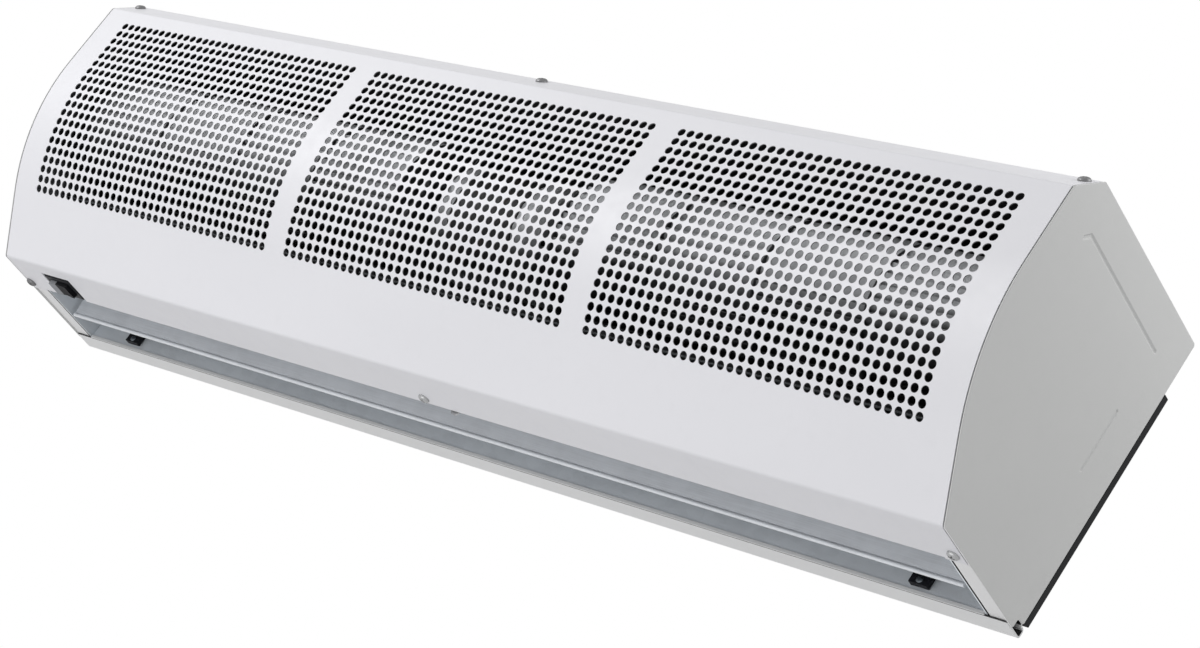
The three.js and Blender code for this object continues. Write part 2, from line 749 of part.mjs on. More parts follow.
// Right stub shaft, riveted to the impeller's last disc.
function stubShaft() {
  const profile = [
    [0, stubStart],
    [stubFlangeRadius, stubStart],
    [stubFlangeRadius, stubStart + stubFlangeThickness],
    [stubRadius, stubStart + stubFlangeThickness],
    [stubRadius, stubEnd],
    [0, stubEnd],
  ];
  return turned(profile, bearingSides);
}

function endBearing() {
  const middle = sidePlateOuter - sheet / 2;
  const half = bearingLength / 2;
  return tube(stubRadius + runningFit, bearingRadius, middle - half, middle + half, bearingSides);
}

// Right rubber ring that holds the bearing in the side plate.
function bearingRubber() {
  const inner = sidePlateOuter - sheet - seat;
  const outer = sidePlateOuter + seat;
  const bore = bearingRadius + seat;
  const profile = [
    [bore, inner - rubberFlangeThickness],
    [rubberRadius + rubberFlange, inner - rubberFlangeThickness],
    [rubberRadius + rubberFlange, inner],
    [rubberRadius, inner],
    [rubberRadius, outer],
    [rubberRadius + rubberFlange, outer],
    [rubberRadius + rubberFlange, outer + rubberFlangeThickness],
    [bore, outer + rubberFlangeThickness],
  ];
  return turned(profile, bearingSides);
}

// ---------- Deflector vane ----------

const vaneEdgeDown = unitHeight - vaneEdgeRise;
const vaneSlope = Math.atan2(vaneLean, vaneHeight);
const bladeFrontAtPivot = vaneEdgeFront + (vaneEdgeDown - pivotDown) * Math.tan(vaneSlope);
const pivotFront = bladeFrontAtPivot - pivotBehind / Math.cos(vaneSlope);
const pivotCentre = [yOf(pivotFront), zOf(pivotDown)];
const eyeRadius = pinRadius + runningFit + eyeWall;
const clipXs = [-halfLength + clipInset, halfLength - clipInset];
const earInner = clipWidth / 2 + seat;

function deflectorVane() {
  const path = [
    [vaneEdgeFront, vaneEdgeDown - vaneBead],
    [vaneEdgeFront + vaneLean, vaneEdgeDown - vaneHeight],
  ];
  const end = insideEnd - vaneEndGap;
  const blade = solid(alongX(bent(offset(path, -sheet / 2)), -end, end));
  const beadCentre = [yOf(vaneEdgeFront), zOf(vaneEdgeDown - vaneBead)];
  const bead = solid(bar(vaneBead, -end, end, 10, beadCentre));
  const ears = clipXs.flatMap((x) =>
    [-1, 1].map((side) => {
      const near = x + side * earInner;
      const far = near + side * earThickness;
      const section = [
        [bladeFrontAtPivot, pivotDown - earHalfHeight],
        [bladeFrontAtPivot, pivotDown + earHalfHeight],
        ...arc([pivotFront, pivotDown], eyeRadius, 110, 250, 5),
      ];
      return solid(alongX(section, Math.min(near, far), Math.max(near, far)));
    }),
  );
  const bores = clipXs.map((x) =>
    solid(bar(pinRadius + seat, x - clipWidth, x + clipWidth, 12, pivotCentre)),
  );
  return cut(joined([blade, bead, ...ears]), bores);
}

// Black clip on the rear nozzle wall, with the eye that the vane's pin turns in.
function vaneClip(x) {
  const footTop = unitHeight - clipFootRise - clipFootHeight;
  const footFront = lipDepth + seat;
  const foot = [
    [footFront, footTop],
    [footFront + clipFootDepth, footTop],
    [footFront + clipFootDepth, pivotDown - eyeRadius],
    [pivotFront, pivotDown - eyeRadius],
    ...arc([pivotFront, pivotDown], eyeRadius, -90, 90, 8),
    [footFront + 2 * clipFootDepth, pivotDown + eyeRadius],
    [footFront + 2 * clipFootDepth, unitHeight - clipFootRise],
    [footFront, unitHeight - clipFootRise],
  ];
  const body = solid(alongX(foot, x - clipWidth / 2, x + clipWidth / 2));
  const bore = bar(pinRadius + runningFit, x - clipWidth, x + clipWidth, 12, pivotCentre);
  return surface(body.subtract(solid(bore)));
}

function vanePin(x) {
  const half = earInner + earThickness + pinReach;
  return bar(pinRadius, x - half, x + half, 12, pivotCentre);
}

// ---------- Rocker switch ----------

const switchMiddleFront = switchFront + switchWidth / 2;
const rockerPivotDown = innerFloor + seat + switchBezel / 2;

function switchHousing() {
  const bezelTop = zOf(innerFloor + seat);
  const half = switchLength / 2;
  const bezel = block(
    [switchCentre - half, yOf(switchFront), bezelTop - switchBezel],
    [switchCentre + half, yOf(switchFront + switchWidth), bezelTop],
  );
  const body = block(
    [switchCentre - half + switchWall, yOf(switchFront + switchWall), bezelTop - switchBezel / 2],
    [
      switchCentre + half - switchWall,
      yOf(switchFront + switchWidth - switchWall),
      bezelTop + switchBody,
    ],
  );
  const well = block(
    [switchCentre - half + 2 * switchWall, yOf(switchFront + 2 * switchWall), bezelTop - 2 * switchBezel],
    [
      switchCentre + half - 2 * switchWall,
      yOf(switchFront + switchWidth - 2 * switchWall),
      bezelTop + switchBody - 2 * switchWall,
    ],
  );
  return solid(bezel).add(solid(body)).subtract(solid(well));
}

// Rocker: a shallow V face below and a round back, centred on its pivot.
function switchRocker() {
  const half = switchLength / 2 - 2 * switchWall - 2 * seat;
  const fall = half * Math.tan(radians((180 - rockerCrown) / 2));
  const z = zOf(rockerPivotDown);
  const points = [
    [-half, -rockerRise - fall],
    [0, -rockerRise],
    [half, -rockerRise - fall],
    [half, rockerShoulder],
    [half / 2, rockerBack],
    [-half / 2, rockerBack],
    [-half, rockerShoulder],
  ].map(([x, up]) => new THREE.Vector2(switchCentre + x, z + up));
  const width = switchWidth - 4 * switchWall - 2 * seat;
  const geometry = new THREE.ExtrudeGeometry(outlineShape(points), { depth: width, bevelEnabled: false });
  return geometry.rotateX(Math.PI / 2).translate(0, yOf(switchMiddleFront) + width / 2, 0);
}

// ---------- Electrical parts ----------

const trayMiddle = (wallFront + nozzleLean + sheet + bottomFront - trayMargin) / 2;

const terminalEnd = terminalStart + terminalLength + terminalWall;

function terminalBlock() {
  const pole = terminalLength / terminalPoles;
  const top = zOf(trayTop - seat - terminalHeight);
  const base = zOf(trayTop - seat);
  const points = [new THREE.Vector2(terminalStart, base)];
  for (let i = 0; i < terminalPoles; i++) {
    const x = terminalStart + i * pole;
    points.push(
      new THREE.Vector2(x, top),
      new THREE.Vector2(x + terminalWall, top),
      new THREE.Vector2(x + terminalWall, top - terminalStep),
      new THREE.Vector2(x + pole, top - terminalStep),
    );
  }
  points.push(
    new THREE.Vector2(terminalEnd - terminalWall, top),
    new THREE.Vector2(terminalEnd, top),
    new THREE.Vector2(terminalEnd, base),
  );
  const shape = outlineShape(points);
  const geometry = new THREE.ExtrudeGeometry(shape, { depth: terminalDepth, bevelEnabled: false });
  return geometry.rotateX(Math.PI / 2).translate(0, yOf(trayMiddle) + terminalDepth / 2, 0);
}

function capacitor() {
  const [length, depth, height] = capacitorSize;
  const base = zOf(trayTop - seat);
  const y = yOf(trayMiddle);
  const box = block(
    [capacitorStart, y - depth / 2, base],
    [capacitorStart + length, y + depth / 2, base + height],
  );
  const [earLength, earWidth, earThick] = capacitorEar;
  const ear = block(
    [capacitorStart + length / 2, y - earWidth / 2, base],
    [capacitorStart + length + earLength, y + earWidth / 2, base + earThick],
  );
  return solid(box).add(solid(ear));
}

// A round lead along a smooth curve through [x, front, down] points.
function lead(points, steps) {
  const curve = new THREE.CatmullRomCurve3(
    points.map(([x, front, down]) => new THREE.Vector3(x, yOf(front), zOf(down))),
  );
  const ring = new THREE.Shape(
    Array.from({ length: leadSides }, (_, i) => {
      const angle = (2 * Math.PI * i) / leadSides;
      return new THREE.Vector2(leadRadius * Math.cos(angle), leadRadius * Math.sin(angle));
    }),
  );
  return new THREE.ExtrudeGeometry(ring, { steps, extrudePath: curve, bevelEnabled: false });
}

const leadLevel = trayTop - seat - 7;

const switchLead = () =>
  lead(
    [
      [switchCentre + 4, switchMiddleFront, innerFloor - switchBody - seat],
      [switchCentre + 6, switchMiddleFront, innerFloor - switchBody - 8],
      [switchCentre + 26, trayMiddle, innerFloor - switchBody - 2],
      [terminalStart - 14, trayMiddle, leadLevel],
      [terminalStart - seat, trayMiddle, leadLevel],
    ],
    10,
  );

const capacitorLead = () =>
  lead(
    [
      [terminalEnd + seat, trayMiddle - 5, leadLevel],
      [terminalEnd + 12, trayMiddle - 5, leadLevel],
      [capacitorStart - 14, trayMiddle - 4, leadLevel - 4],
      [capacitorStart - seat, trayMiddle - 4, leadLevel - 4],
    ],
    7,
  );

const motorLead = () =>
  lead(
    [
      [terminalEnd + seat, trayMiddle + 5, leadLevel],
      [terminalEnd + 14, trayMiddle + 6, leadLevel],
      [capacitorStart - 12, trayMiddle + 15, leadLevel - 14],
      [capacitorStart + 110, trayMiddle + 16, leadLevel - 14],
      [-bellEnd - 24, axisFront + 36, axisDown + impellerRadius + 22],
      [-bellEnd - 8, axisFront + 44, axisDown + 30],
      [-bellEnd + 8, axisFront + motorRadius + 14, axisDown],
      [-bellEnd + 8, axisFront + motorRadius + seat, axisDown],
    ],
    16,
  );

// ---------- Wall plate, grommet, screws ----------

const hookTop = wallPlateHeight / 2 - hookDrop;

// Tray-shaped plate on the wall, with upturned hooks that the casing's slots drop onto.
function wallPlate() {
  const half = wallPlateHeight / 2;
  const plate = solid(block([-halfLength, 0, -half], [halfLength, -wallPlateDepth, half]));
  const pocket = solid(
    block(
      [-halfLength + wallPlateSheet, -wallPlateSheet, -half + wallPlateSheet],
      [halfLength - wallPlateSheet, -2 * wallPlateDepth, half - wallPlateSheet],
    ),
  );
  const tip = casingBack - sheet - seat;
  const hooks = hookXs.flatMap((x) => [
    block(
      [x - hookWidth / 2, -wallPlateSheet / 2, hookTop - hookReach],
      [x + hookWidth / 2, tip - hookSheet, hookTop - hookReach - hookSheet],
    ),
    block(
      [x - hookWidth / 2, tip, hookTop - hookReach - hookSheet / 2],
      [x + hookWidth / 2, tip - hookSheet, hookTop],
    ),
  ]);
  const holes = wallHoleXs.flatMap((x) =>
    [-1, 1].map((side) => {
      const hole = new THREE.CylinderGeometry(wallHoleRadius, wallHoleRadius, 4 * wallPlateDepth, holeSides);
      return solid(hole.translate(x, 0, side * (half - wallHoleInset)));
    }),
  );
  return cut(joined([plate.subtract(pocket), ...hooks.map(solid)]), holes);
}

function grommet() {
  const neck = grommetHole - seat;
  const flange = grommetHole + grommetFlange;
  const inside = sheet + seat;
  const profile = [
    [0, -inside],
    [neck - grommetWall, -inside],
    [neck - grommetWall, -inside - grommetRim],
    [flange, -inside - grommetRim],
    [flange, -inside],
    [neck, -inside],
    [neck, seat],
    [flange, seat],
    [flange, seat + grommetRim],
    [neck - grommetWall, seat + grommetRim],
    [neck - grommetWall, -inside + grommetMembrane],
    [0, -inside + grommetMembrane],
  ];
  const geometry = turned(profile, bearingSides, [0, 0]);
  return geometry.rotateZ(Math.PI / 2).translate(grommetX, casingBack, zOf(grommetDown));
}

// Pan-head screw whose axis is turned from +Z about X.
function screw(x, [front, down], tilt, lift) {
  const profile = [
    [0, lift - screwLength],
    [screwRadius, lift - screwLength],
    [screwRadius, lift],
    [screwHeadRadius, lift],
    [screwHeadRadius * screwCrown, lift + screwHeadHeight * screwCrown],
    [0, lift + screwHeadHeight],
  ].map(([radius, height]) => new THREE.Vector2(radius, height));
  const geometry = new THREE.LatheGeometry(profile, holeSides);
  return geometry.rotateX(Math.PI / 2 + tilt).translate(x, yOf(front), zOf(down));
}

// ---------- Assembly ----------

const finishes = {
  coverPaint: [0xdcdce4, 0.45, 0.0],
  casingPaint: [0xd2d2d6, 0.5, 0.0],
  capPaint: [0xb4b4b6, 0.55, 0.0],
  bareSheet: [0x8c979f, 0.45, 0.6],
  aluminium: [0xc8ccd0, 0.35, 0.8],
  steel: [0xa0a4a8, 0.35, 0.9],
  zincScrew: [0xb8bcc0, 0.35, 0.9],
  blackPlastic: [0x16181e, 0.5, 0.0],
  greyPlastic: [0xd8d4c8, 0.5, 0.0],
  rubber: [0x1c1c1e, 0.8, 0.0],
  blackPaint: [0x1a1c20, 0.5, 0.0],
  cable: [0x2a2c30, 0.6, 0.0],
};

const airCurtain = new THREE.Group();
airCurtain.name = "air_curtain";

function add(parent, name, finish, shape) {
  const [color, roughness, metalness] = finishes[finish];
  const geometry = shape.isBufferGeometry ? shape : surface(shape);
  const mesh = new THREE.Mesh(geometry, new THREE.MeshStandardMaterial({ color, roughness, metalness }));
  mesh.name = name;
  parent.add(mesh);
}

// A piece made for the right end, and its mirror image for the left.
function addPair(parent, name, finish, geometry) {
  add(parent, name + "_right", finish, geometry);
  add(parent, name + "_left", finish, mirrored(geometry));
}

function group(name) {
  const child = new THREE.Group();
  child.name = name;
  airCurtain.add(child);
  return child;
}

const housing = group("housing");
add(housing, "casing", "casingPaint", casing());
add(housing, "front_cover", "coverPaint", frontCover());
addPair(housing, "end_cap", "capPaint", endCap());
add(housing, "wall_plate", "blackPaint", wallPlate());
add(housing, "cable_grommet", "rubber", grommet());
["left", "middle", "right"].forEach((place, i) => {
  const onChamfer = screw(screwXs[i], chamferScrewPoint, chamferTilt, seat);
  const onBottom = screw(screwXs[i], bottomScrewPoint, bottomTilt, seat);
  add(housing, "cover_screw_top_" + place, "zincScrew", onChamfer);
  add(housing, "cover_screw_bottom_" + place, "zincScrew", onBottom);
});
add(housing, "nozzle_screw", "zincScrew", screw(nozzleScrewX, nozzleScrewPoint, nozzleTilt, seat));

const airPassage = group("air_passage");
add(airPassage, "scroll_guide", "bareSheet", scrollGuide());
add(airPassage, "air_tongue", "bareSheet", airTongue());
addPair(airPassage, "side_plate", "bareSheet", sidePlate());

const motor = group("motor");
add(motor, "motor_stator", "steel", stator());
addPair(motor, "motor_end_bell", "aluminium", endBell());
addPair(motor, "motor_rubber_ring", "rubber", rubberRing());
add(motor, "motor_hanger", "steel", motorHanger());
addPair(motor, "motor_strap", "steel", motorStrap());

const rotor = group("rotor");
add(rotor, "motor_shaft", "steel", motorShaft());
add(rotor, "motor_rotor", "steel", rotorCore());
addPair(rotor, "hub_bush", "rubber", hubBush());
addPair(rotor, "impeller", "aluminium", impeller());
addPair(rotor, "stub_shaft", "steel", stubShaft());

const bearings = group("bearings");
addPair(bearings, "end_bearing", "steel", endBearing());
addPair(bearings, "bearing_rubber", "rubber", bearingRubber());

const vane = group("vane");
add(vane, "deflector_vane", "aluminium", deflectorVane());
["left", "right"].forEach((place, i) => {
  add(vane, "vane_clip_" + place, "blackPlastic", vaneClip(clipXs[i]));
  add(vane, "vane_pin_" + place, "steel", vanePin(clipXs[i]));
});

const electrical = group("electrical");
add(electrical, "switch_housing", "blackPlastic", switchHousing());
add(electrical, "switch_rocker", "blackPlastic", switchRocker());
add(electrical, "terminal_block", "greyPlastic", terminalBlock());
add(electrical, "capacitor", "greyPlastic", capacitor());
add(electrical, "switch_lead", "cable", switchLead());
add(electrical, "capacitor_lead", "cable", capacitorLead());
add(electrical, "motor_lead", "cable", motorLead());

export default airCurtain;
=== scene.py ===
"""Looks of a wall-mounted air curtain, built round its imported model.

Metres, +Z up, the wall is the plane Y = 0 and the front faces -Y. Sections are written as
(front, down): the distance in front of the casing's back and below its top.
"""

import json
import math

import bmesh
import bpy
from mathutils import Matrix, Vector


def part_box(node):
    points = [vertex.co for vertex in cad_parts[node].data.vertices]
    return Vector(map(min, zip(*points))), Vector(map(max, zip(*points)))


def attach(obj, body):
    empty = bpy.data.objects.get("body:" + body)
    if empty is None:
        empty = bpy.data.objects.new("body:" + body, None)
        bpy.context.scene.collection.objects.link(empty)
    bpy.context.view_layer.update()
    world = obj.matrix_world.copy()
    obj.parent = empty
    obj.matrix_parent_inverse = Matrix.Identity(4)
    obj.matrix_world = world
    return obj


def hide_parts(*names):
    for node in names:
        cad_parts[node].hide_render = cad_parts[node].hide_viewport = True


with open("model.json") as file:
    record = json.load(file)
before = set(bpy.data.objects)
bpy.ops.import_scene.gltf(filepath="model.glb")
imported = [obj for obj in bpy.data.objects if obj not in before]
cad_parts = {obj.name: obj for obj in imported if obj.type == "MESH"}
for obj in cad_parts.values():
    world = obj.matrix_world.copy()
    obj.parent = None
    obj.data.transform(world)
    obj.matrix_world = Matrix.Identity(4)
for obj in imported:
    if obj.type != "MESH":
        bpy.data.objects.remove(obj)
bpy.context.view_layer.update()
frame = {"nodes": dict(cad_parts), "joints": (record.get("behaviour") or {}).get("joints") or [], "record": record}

MM = 0.001

# ---------- Sizes taken from the frame ----------

cap_low, cap_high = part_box("end_cap_right")
END = cap_high.x  # half the unit's length
BACK = cap_high.y  # the casing's back plane
TOP = cap_high.z
DEPTH = BACK - cap_low.y
HEIGHT = TOP - cap_low.z
cover_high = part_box("front_cover")[1]
LIP = BACK - cover_high.y  # front of the cover's lip
COVER_END = cover_high.x - 0.4 * MM
AIR_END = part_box("air_tongue")[1].x  # the air guides' ends
shaft = Vector(next(joint for joint in frame["joints"] if joint["name"] == "rotor_spin")["pos_m"])

# ---------- Sizes of the dressed pieces ----------

SHEET = 1.2 * MM
GAP = 0.3 * MM
BEND = 2 * MM  # outer radius of a folded sheet
CHAMFER = 20.9 * MM
COVER_TOP = 1 * MM  # cover's upper edge below the start of the chamfer
FLAT_DROP = 76 * MM  # top to the start of the curved front
FRONT_RADIUS = 165 * MM
FRONT_SWEEP = math.radians(37)
FRONT_STEPS = 24
LIP_RISE = 9 * MM
HOLE_PITCH = 7.5 * MM
HOLE_RADIUS = 2.85 * MM
HOLE_STEPS = 5  # corners of a hole in each quarter
COVER_SHEET = 0.7 * MM
COVER_BOTTOM_BEND = 3.5 * MM
FIELDS = 3
FIELD_COLUMNS = 36
FIELD_ROWS = 20
FIELD_END_MARGIN = 28.8 * MM  # cover's end to the first column of holes
FIELD_BRIDGE = 26 * MM  # last column of one field to the first of the next
FIELD_TOP = CHAMFER * (math.sqrt(2) - 1) + 35.2 * MM  # along the front, to the first row
NOTCH_GAP = 2 * MM  # round the switch
FOOT_NOTCH = 7 * MM  # corner left open in the end caps


def at(x, front, down):
    """A point of the unit's section at x."""
    return Vector((x, BACK - front, TOP - down))


# ---------- Mesh helpers ----------


def arc(centre, radius, start, end, steps):
    """Points on an arc; angles in radians from +front towards +down."""
    return [
        (
            centre[0] + radius * math.cos(start + (end - start) * i / steps),
            centre[1] + radius * math.sin(start + (end - start) * i / steps),
        )
        for i in range(steps + 1)
    ]


def unit(a, b):
    """The direction from a to b."""
    length = math.hypot(b[0] - a[0], b[1] - a[1])
    return (b[0] - a[0]) / length, (b[1] - a[1]) / length


def round_corner(before, corner, after, radius, steps):
    """The corner between two straight lines as an arc of points."""
    ax, ay = unit(corner, before)
    bx, by = unit(corner, after)
    opening = math.acos(max(-1, min(1, ax * bx + ay * by)))
    reach = radius / math.tan(opening / 2)
    start = (corner[0] + ax * reach, corner[1] + ay * reach)
    end = (corner[0] + bx * reach, corner[1] + by * reach)
    to_centre = radius / math.sin(opening / 2)
    mx, my = unit(corner, ((start[0] + end[0]) / 2, (start[1] + end[1]) / 2))
    centre = (corner[0] + mx * to_centre, corner[1] + my * to_centre)
    first = math.atan2(start[1] - centre[1], start[0] - centre[0])
    last = math.atan2(end[1] - centre[1], end[0] - centre[0])
    turn = (last - first + math.pi) % (2 * math.pi) - math.pi
    return arc(centre, radius, first, first + turn, steps)


def turn_at(before, corner, after):
    """How far a line turns at a corner, with its sign."""
    ax, ay = unit(before, corner)
    bx, by = unit(corner, after)
    return math.atan2(ax * by - ay * bx, ax * bx + ay * by)


SHARP_TURN = math.radians(15)


def round_path(points, radius, steps, closed=False):
    """The path with its sharp corners rounded."""
    result = []
    count = len(points)
    for i, corner in enumerate(points):
        if not closed and i in (0, count - 1):
            result.append(corner)
            continue
        before, after = points[i - 1], points[(i + 1) % count]
        if abs(turn_at(before, corner, after)) > SHARP_TURN:
            result.extend(round_corner(before, corner, after, radius, steps))
        else:
            result.append(corner)
    return result


def inset(loop, distance):
    """A closed loop moved to the right of its direction, with mitred corners."""
    result = []
    for i, corner in enumerate(loop):
        ax, ay = unit(loop[i - 1], corner)
        bx, by = unit(corner, loop[(i + 1) % len(loop)])
        nx, ny = -(ay + by), ax + bx
        size = math.hypot(nx, ny)
        scale = distance / (size * size / 2)
        result.append((corner[0] + nx * scale, corner[1] + ny * scale))
    return result


def thicken(bm, thickness, punched=()):
    """Thickens a surface on its back side and closes its edges; punched ones get material 1."""
    bm.normal_update()
    faces = list(bm.faces)
    rims = [edge.link_loops[0] for edge in bm.edges if edge.is_boundary]
    rims = [(loop.vert, loop.link_loop_next.vert) for loop in rims]
    inner = {v: bm.verts.new(v.co - v.normal * thickness) for v in list(bm.verts)}
    for face in faces:
        bm.faces.new([inner[v] for v in reversed(face.verts)])
    for a, b in rims:
        edge = bm.faces.new((b, a, inner[a], inner[b]))
        edge.material_index = 1 if a in punched else 0


def bridge(bm, ring_a, ring_b):
    """Quads between two closed rings of vertices."""
    made = []
    for i in range(len(ring_a)):
        j = (i + 1) % len(ring_a)
        made.append(bm.faces.new((ring_a[i], ring_a[j], ring_b[j], ring_b[i])))
    return made


def ring_edges(bm, ring):
    """The edges of a closed ring of vertices."""
    return [bm.edges.get(pair) for pair in zip(ring, ring[1:] + ring[:1])]


def mesh_of(name, bm):
    """A mesh from a bmesh, which is freed."""
    mesh = bpy.data.meshes.new(name)
    bm.to_mesh(mesh)
    bm.free()
    return mesh


def placed(name, data):
    """A new object in the scene."""
    obj = bpy.data.objects.new(name, data)
    bpy.context.scene.collection.objects.link(obj)
    return obj


def piece(name, bm, materials, body="root", replaces=(), sharp=32, turn_faces=True):
    """A finished piece from a bmesh, riding on a body; edges over sharp degrees stay sharp."""
    if turn_faces:
        bmesh.ops.recalc_face_normals(bm, faces=bm.faces)
    mesh = mesh_of(name, bm)
    mesh.shade_smooth()
    mesh.set_sharp_from_angle(angle=math.radians(sharp))
    for material in materials:
        mesh.materials.append(material)
    obj = placed(name, mesh)
    weigh = obj.modifiers.new("even_shading", "WEIGHTED_NORMAL")
    weigh.keep_sharp = True
    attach(obj, body)
    if replaces:
        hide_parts(*replaces)


def prism(bm, near, far):
    """A closed solid between two equal loops of points."""
    near = [bm.verts.new(p) for p in near]
    far = [bm.verts.new(p) for p in far]
    bridge(bm, near, far)
    bm.faces.new(near)
    bm.faces.new(list(reversed(far)))


def lathe(bm, profile, steps, axis_point, axis="X"):
    """A closed outline of (radius, along) points turned about an axis through a point."""
    rings = []
    for k in range(steps):
        angle = 2 * math.pi * k / steps
        c, s = math.cos(angle), math.sin(angle)
        ring = []
        for radius, along in profile:
            if axis == "X":
                offset = Vector((along, radius * c, radius * s))
            else:
                offset = Vector((radius * c, radius * s, along))
            ring.append(bm.verts.new(axis_point + offset))
        rings.append(ring)
    for k in range(steps):
        bridge(bm, rings[k], rings[(k + 1) % steps])
    bmesh.ops.remove_doubles(bm, verts=bm.verts, dist=0.001 * MM)


# ---------- Materials ----------

# Painted shade: near black on the faces inside the unit that look towards the shaft
INNER_SHADE = (0.035, 0.035, 0.037)
INNER_SHADE_REACH = (8 * MM, 12 * MM)  # start and end of the painted shade inside: how far the shaft lies in front of a face
# Painted shade: near black where little light gets in, deep inside the unit
PAINTED_SHADE = (0.035, 0.036, 0.038)
GALVANISED = (0.74, 0.78, 0.82)
NOZZLE_SHADE = 0.45  # how dark the painted shade makes the nozzle's sheets with height
NOZZLE_SHADE_RISE = (20 * MM, 62 * MM)  # start and end above the unit's bottom
NOZZLE_PAINTED_SHADE_DROP = (70 * MM, 45 * MM)  # start and end of the painted shade below the shaft
FAN_PAINTED_SHADE_DROP = (12 * MM, 30 * MM)  # start and end of the painted shade on the fans, below the shaft
FAN_PAINTED_SHADE_BACK = (-8 * MM, 4 * MM)  # and behind it


class Finish:
    """A procedural material: a Principled shader whose colour, roughness and relief vary."""

    def __init__(self, name, color, roughness, metallic=0.0):
        self.material = bpy.data.materials.new(name)
        self.material.use_nodes = True
        self.nodes = self.material.node_tree.nodes
        self.links = self.material.node_tree.links
        self.shader = self.nodes["Principled BSDF"]
        self.color = color
        self.roughness = roughness
        self.set("Base Color", (*color, 1))
        self.set("Roughness", roughness)
        self.set("Metallic", metallic)
        self.place = self.nodes.new("ShaderNodeTexCoord").outputs["Object"]
        self.relief = None

    @classmethod
    def of(cls, material):
        """A finish that goes on with a material made before."""
        finish = cls.__new__(cls)
        finish.material = material
        finish.nodes = material.node_tree.nodes
        finish.links = material.node_tree.links
        finish.shader = finish.nodes["Principled BSDF"]
        return finish

    def set(self, socket, value):
        """Gives one of the shader's inputs a value."""
        self.shader.inputs[socket].default_value = value

    def texture(self, kind, size, stretch=(1, 1, 1)):
        """A texture with features of a size in metres, longer along the stretched axes."""
        mapping = self.nodes.new("ShaderNodeMapping")
        mapping.inputs["Scale"].default_value = [1 / (size * s) for s in stretch]
        self.links.new(self.place, mapping.inputs["Vector"])
        node = self.nodes.new(kind)
        node.inputs["Scale"].default_value = 1
        self.links.new(mapping.outputs["Vector"], node.inputs["Vector"])
        return node

    def noise(self, size, stretch=(1, 1, 1), detail=3.0):
        """Smooth noise."""
        node = self.texture("ShaderNodeTexNoise", size, stretch)
        node.inputs["Detail"].default_value = detail
        return node.outputs["Fac"]

    def cells(self, size):
        """Random grey cells."""
        node = self.texture("ShaderNodeTexVoronoi", size)
        split = self.nodes.new("ShaderNodeSeparateColor")
        self.links.new(node.outputs["Color"], split.inputs["Color"])
        return split.outputs["Red"]

    def spread(self, value, low, high, start=0.3, end=0.7):
        """A value's middle range mapped to another range."""
        node = self.nodes.new("ShaderNodeMapRange")
        node.inputs["From Min"].default_value = start
        node.inputs["From Max"].default_value = end
        node.inputs["To Min"].default_value = low
        node.inputs["To Max"].default_value = high
        self.links.new(value, node.inputs["Value"])
        return node.outputs["Result"]

    def tint(self, value, other, share=1.0, start=0.35, end=0.65):
        """Mixes the colour so far with another where a value is high."""
        mix = self.nodes.new("ShaderNodeMix")
        mix.data_type = "RGBA"
        factor = self.spread(value, 0, share, start, end)
        self.links.new(factor, mix.inputs["Factor"])
        current = self.shader.inputs["Base Color"]
        if current.is_linked:
            self.links.new(current.links[0].from_socket, mix.inputs["A"])
        else:
            mix.inputs["A"].default_value = (*self.color, 1)
        mix.inputs["B"].default_value = (*other, 1)
        self.links.new(mix.outputs["Result"], current)

    def rough(self, value, swing):
        """Varies the roughness up and down with a value."""
        result = self.spread(value, self.roughness - swing, self.roughness + swing)
        self.links.new(result, self.shader.inputs["Roughness"])

    def bump(self, value, height):
        """Adds relief of a height in metres."""
        node = self.nodes.new("ShaderNodeBump")
        node.inputs["Distance"].default_value = height
        node.inputs["Strength"].default_value = 1
        self.links.new(value, node.inputs["Height"])
        if self.relief:
            self.links.new(self.relief, node.inputs["Normal"])
        self.relief = node.outputs["Normal"]
        self.links.new(self.relief, self.shader.inputs["Normal"])

    def inside(self, other):
        """Painted shade: another colour on faces that look towards the shaft."""
        geometry = self.nodes.new("ShaderNodeNewGeometry")
        apart = self.nodes.new("ShaderNodeVectorMath")
        apart.operation = "SUBTRACT"
        apart.inputs[0].default_value = shaft
        self.links.new(geometry.outputs["Position"], apart.inputs[1])
        across = self.nodes.new("ShaderNodeVectorMath")
        across.operation = "MULTIPLY"
        across.inputs[1].default_value = (0, 1, 1)
        self.links.new(apart.outputs["Vector"], across.inputs[0])
        dot = self.nodes.new("ShaderNodeVectorMath")
        dot.operation = "DOT_PRODUCT"
        self.links.new(across.outputs["Vector"], dot.inputs[0])
        self.links.new(geometry.outputs["Normal"], dot.inputs[1])
        start, end = INNER_SHADE_REACH
        self.tint(dot.outputs["Value"], other, start=start, end=end)

    def along(self, output, axis, other, start, end):
        """Another colour past a position, or on faces that look along an axis."""
        geometry = self.nodes.new("ShaderNodeNewGeometry")
        split = self.nodes.new("ShaderNodeSeparateXYZ")
        self.links.new(geometry.outputs[output], split.inputs[0])
        self.tint(split.outputs[axis], other, start=start, end=end)


def shade(color, factor):
    """A colour made lighter or darker."""
    return tuple(min(1.0, c * factor) for c in color)


def powder_coat(name, color, roughness=0.42, gloss=0.42, inner=None):
    """Smooth powder coat: a slight orange peel, faint clouds and fine dust."""
    finish = Finish(name, color, roughness)
    finish.set("Specular IOR Level", gloss)
    peel = finish.noise(1.6 * MM, detail=1.0)
    grain = finish.noise(0.35 * MM, detail=2.0)
    clouds = finish.noise(140 * MM, stretch=(2.5, 1, 1))
    dust = finish.noise(9 * MM, detail=6.0)
    finish.tint(clouds, shade(color, 0.965))
    finish.tint(dust, shade(color, 0.94), share=0.25, start=0.55, end=0.8)
    finish.rough(dust, 0.05)
    finish.bump(peel, 0.012 * MM)
    finish.bump(grain, 0.006 * MM)
    # Painted shade on faces that look towards the shaft
    if inner:
        finish.inside(inner)
    return finish.material


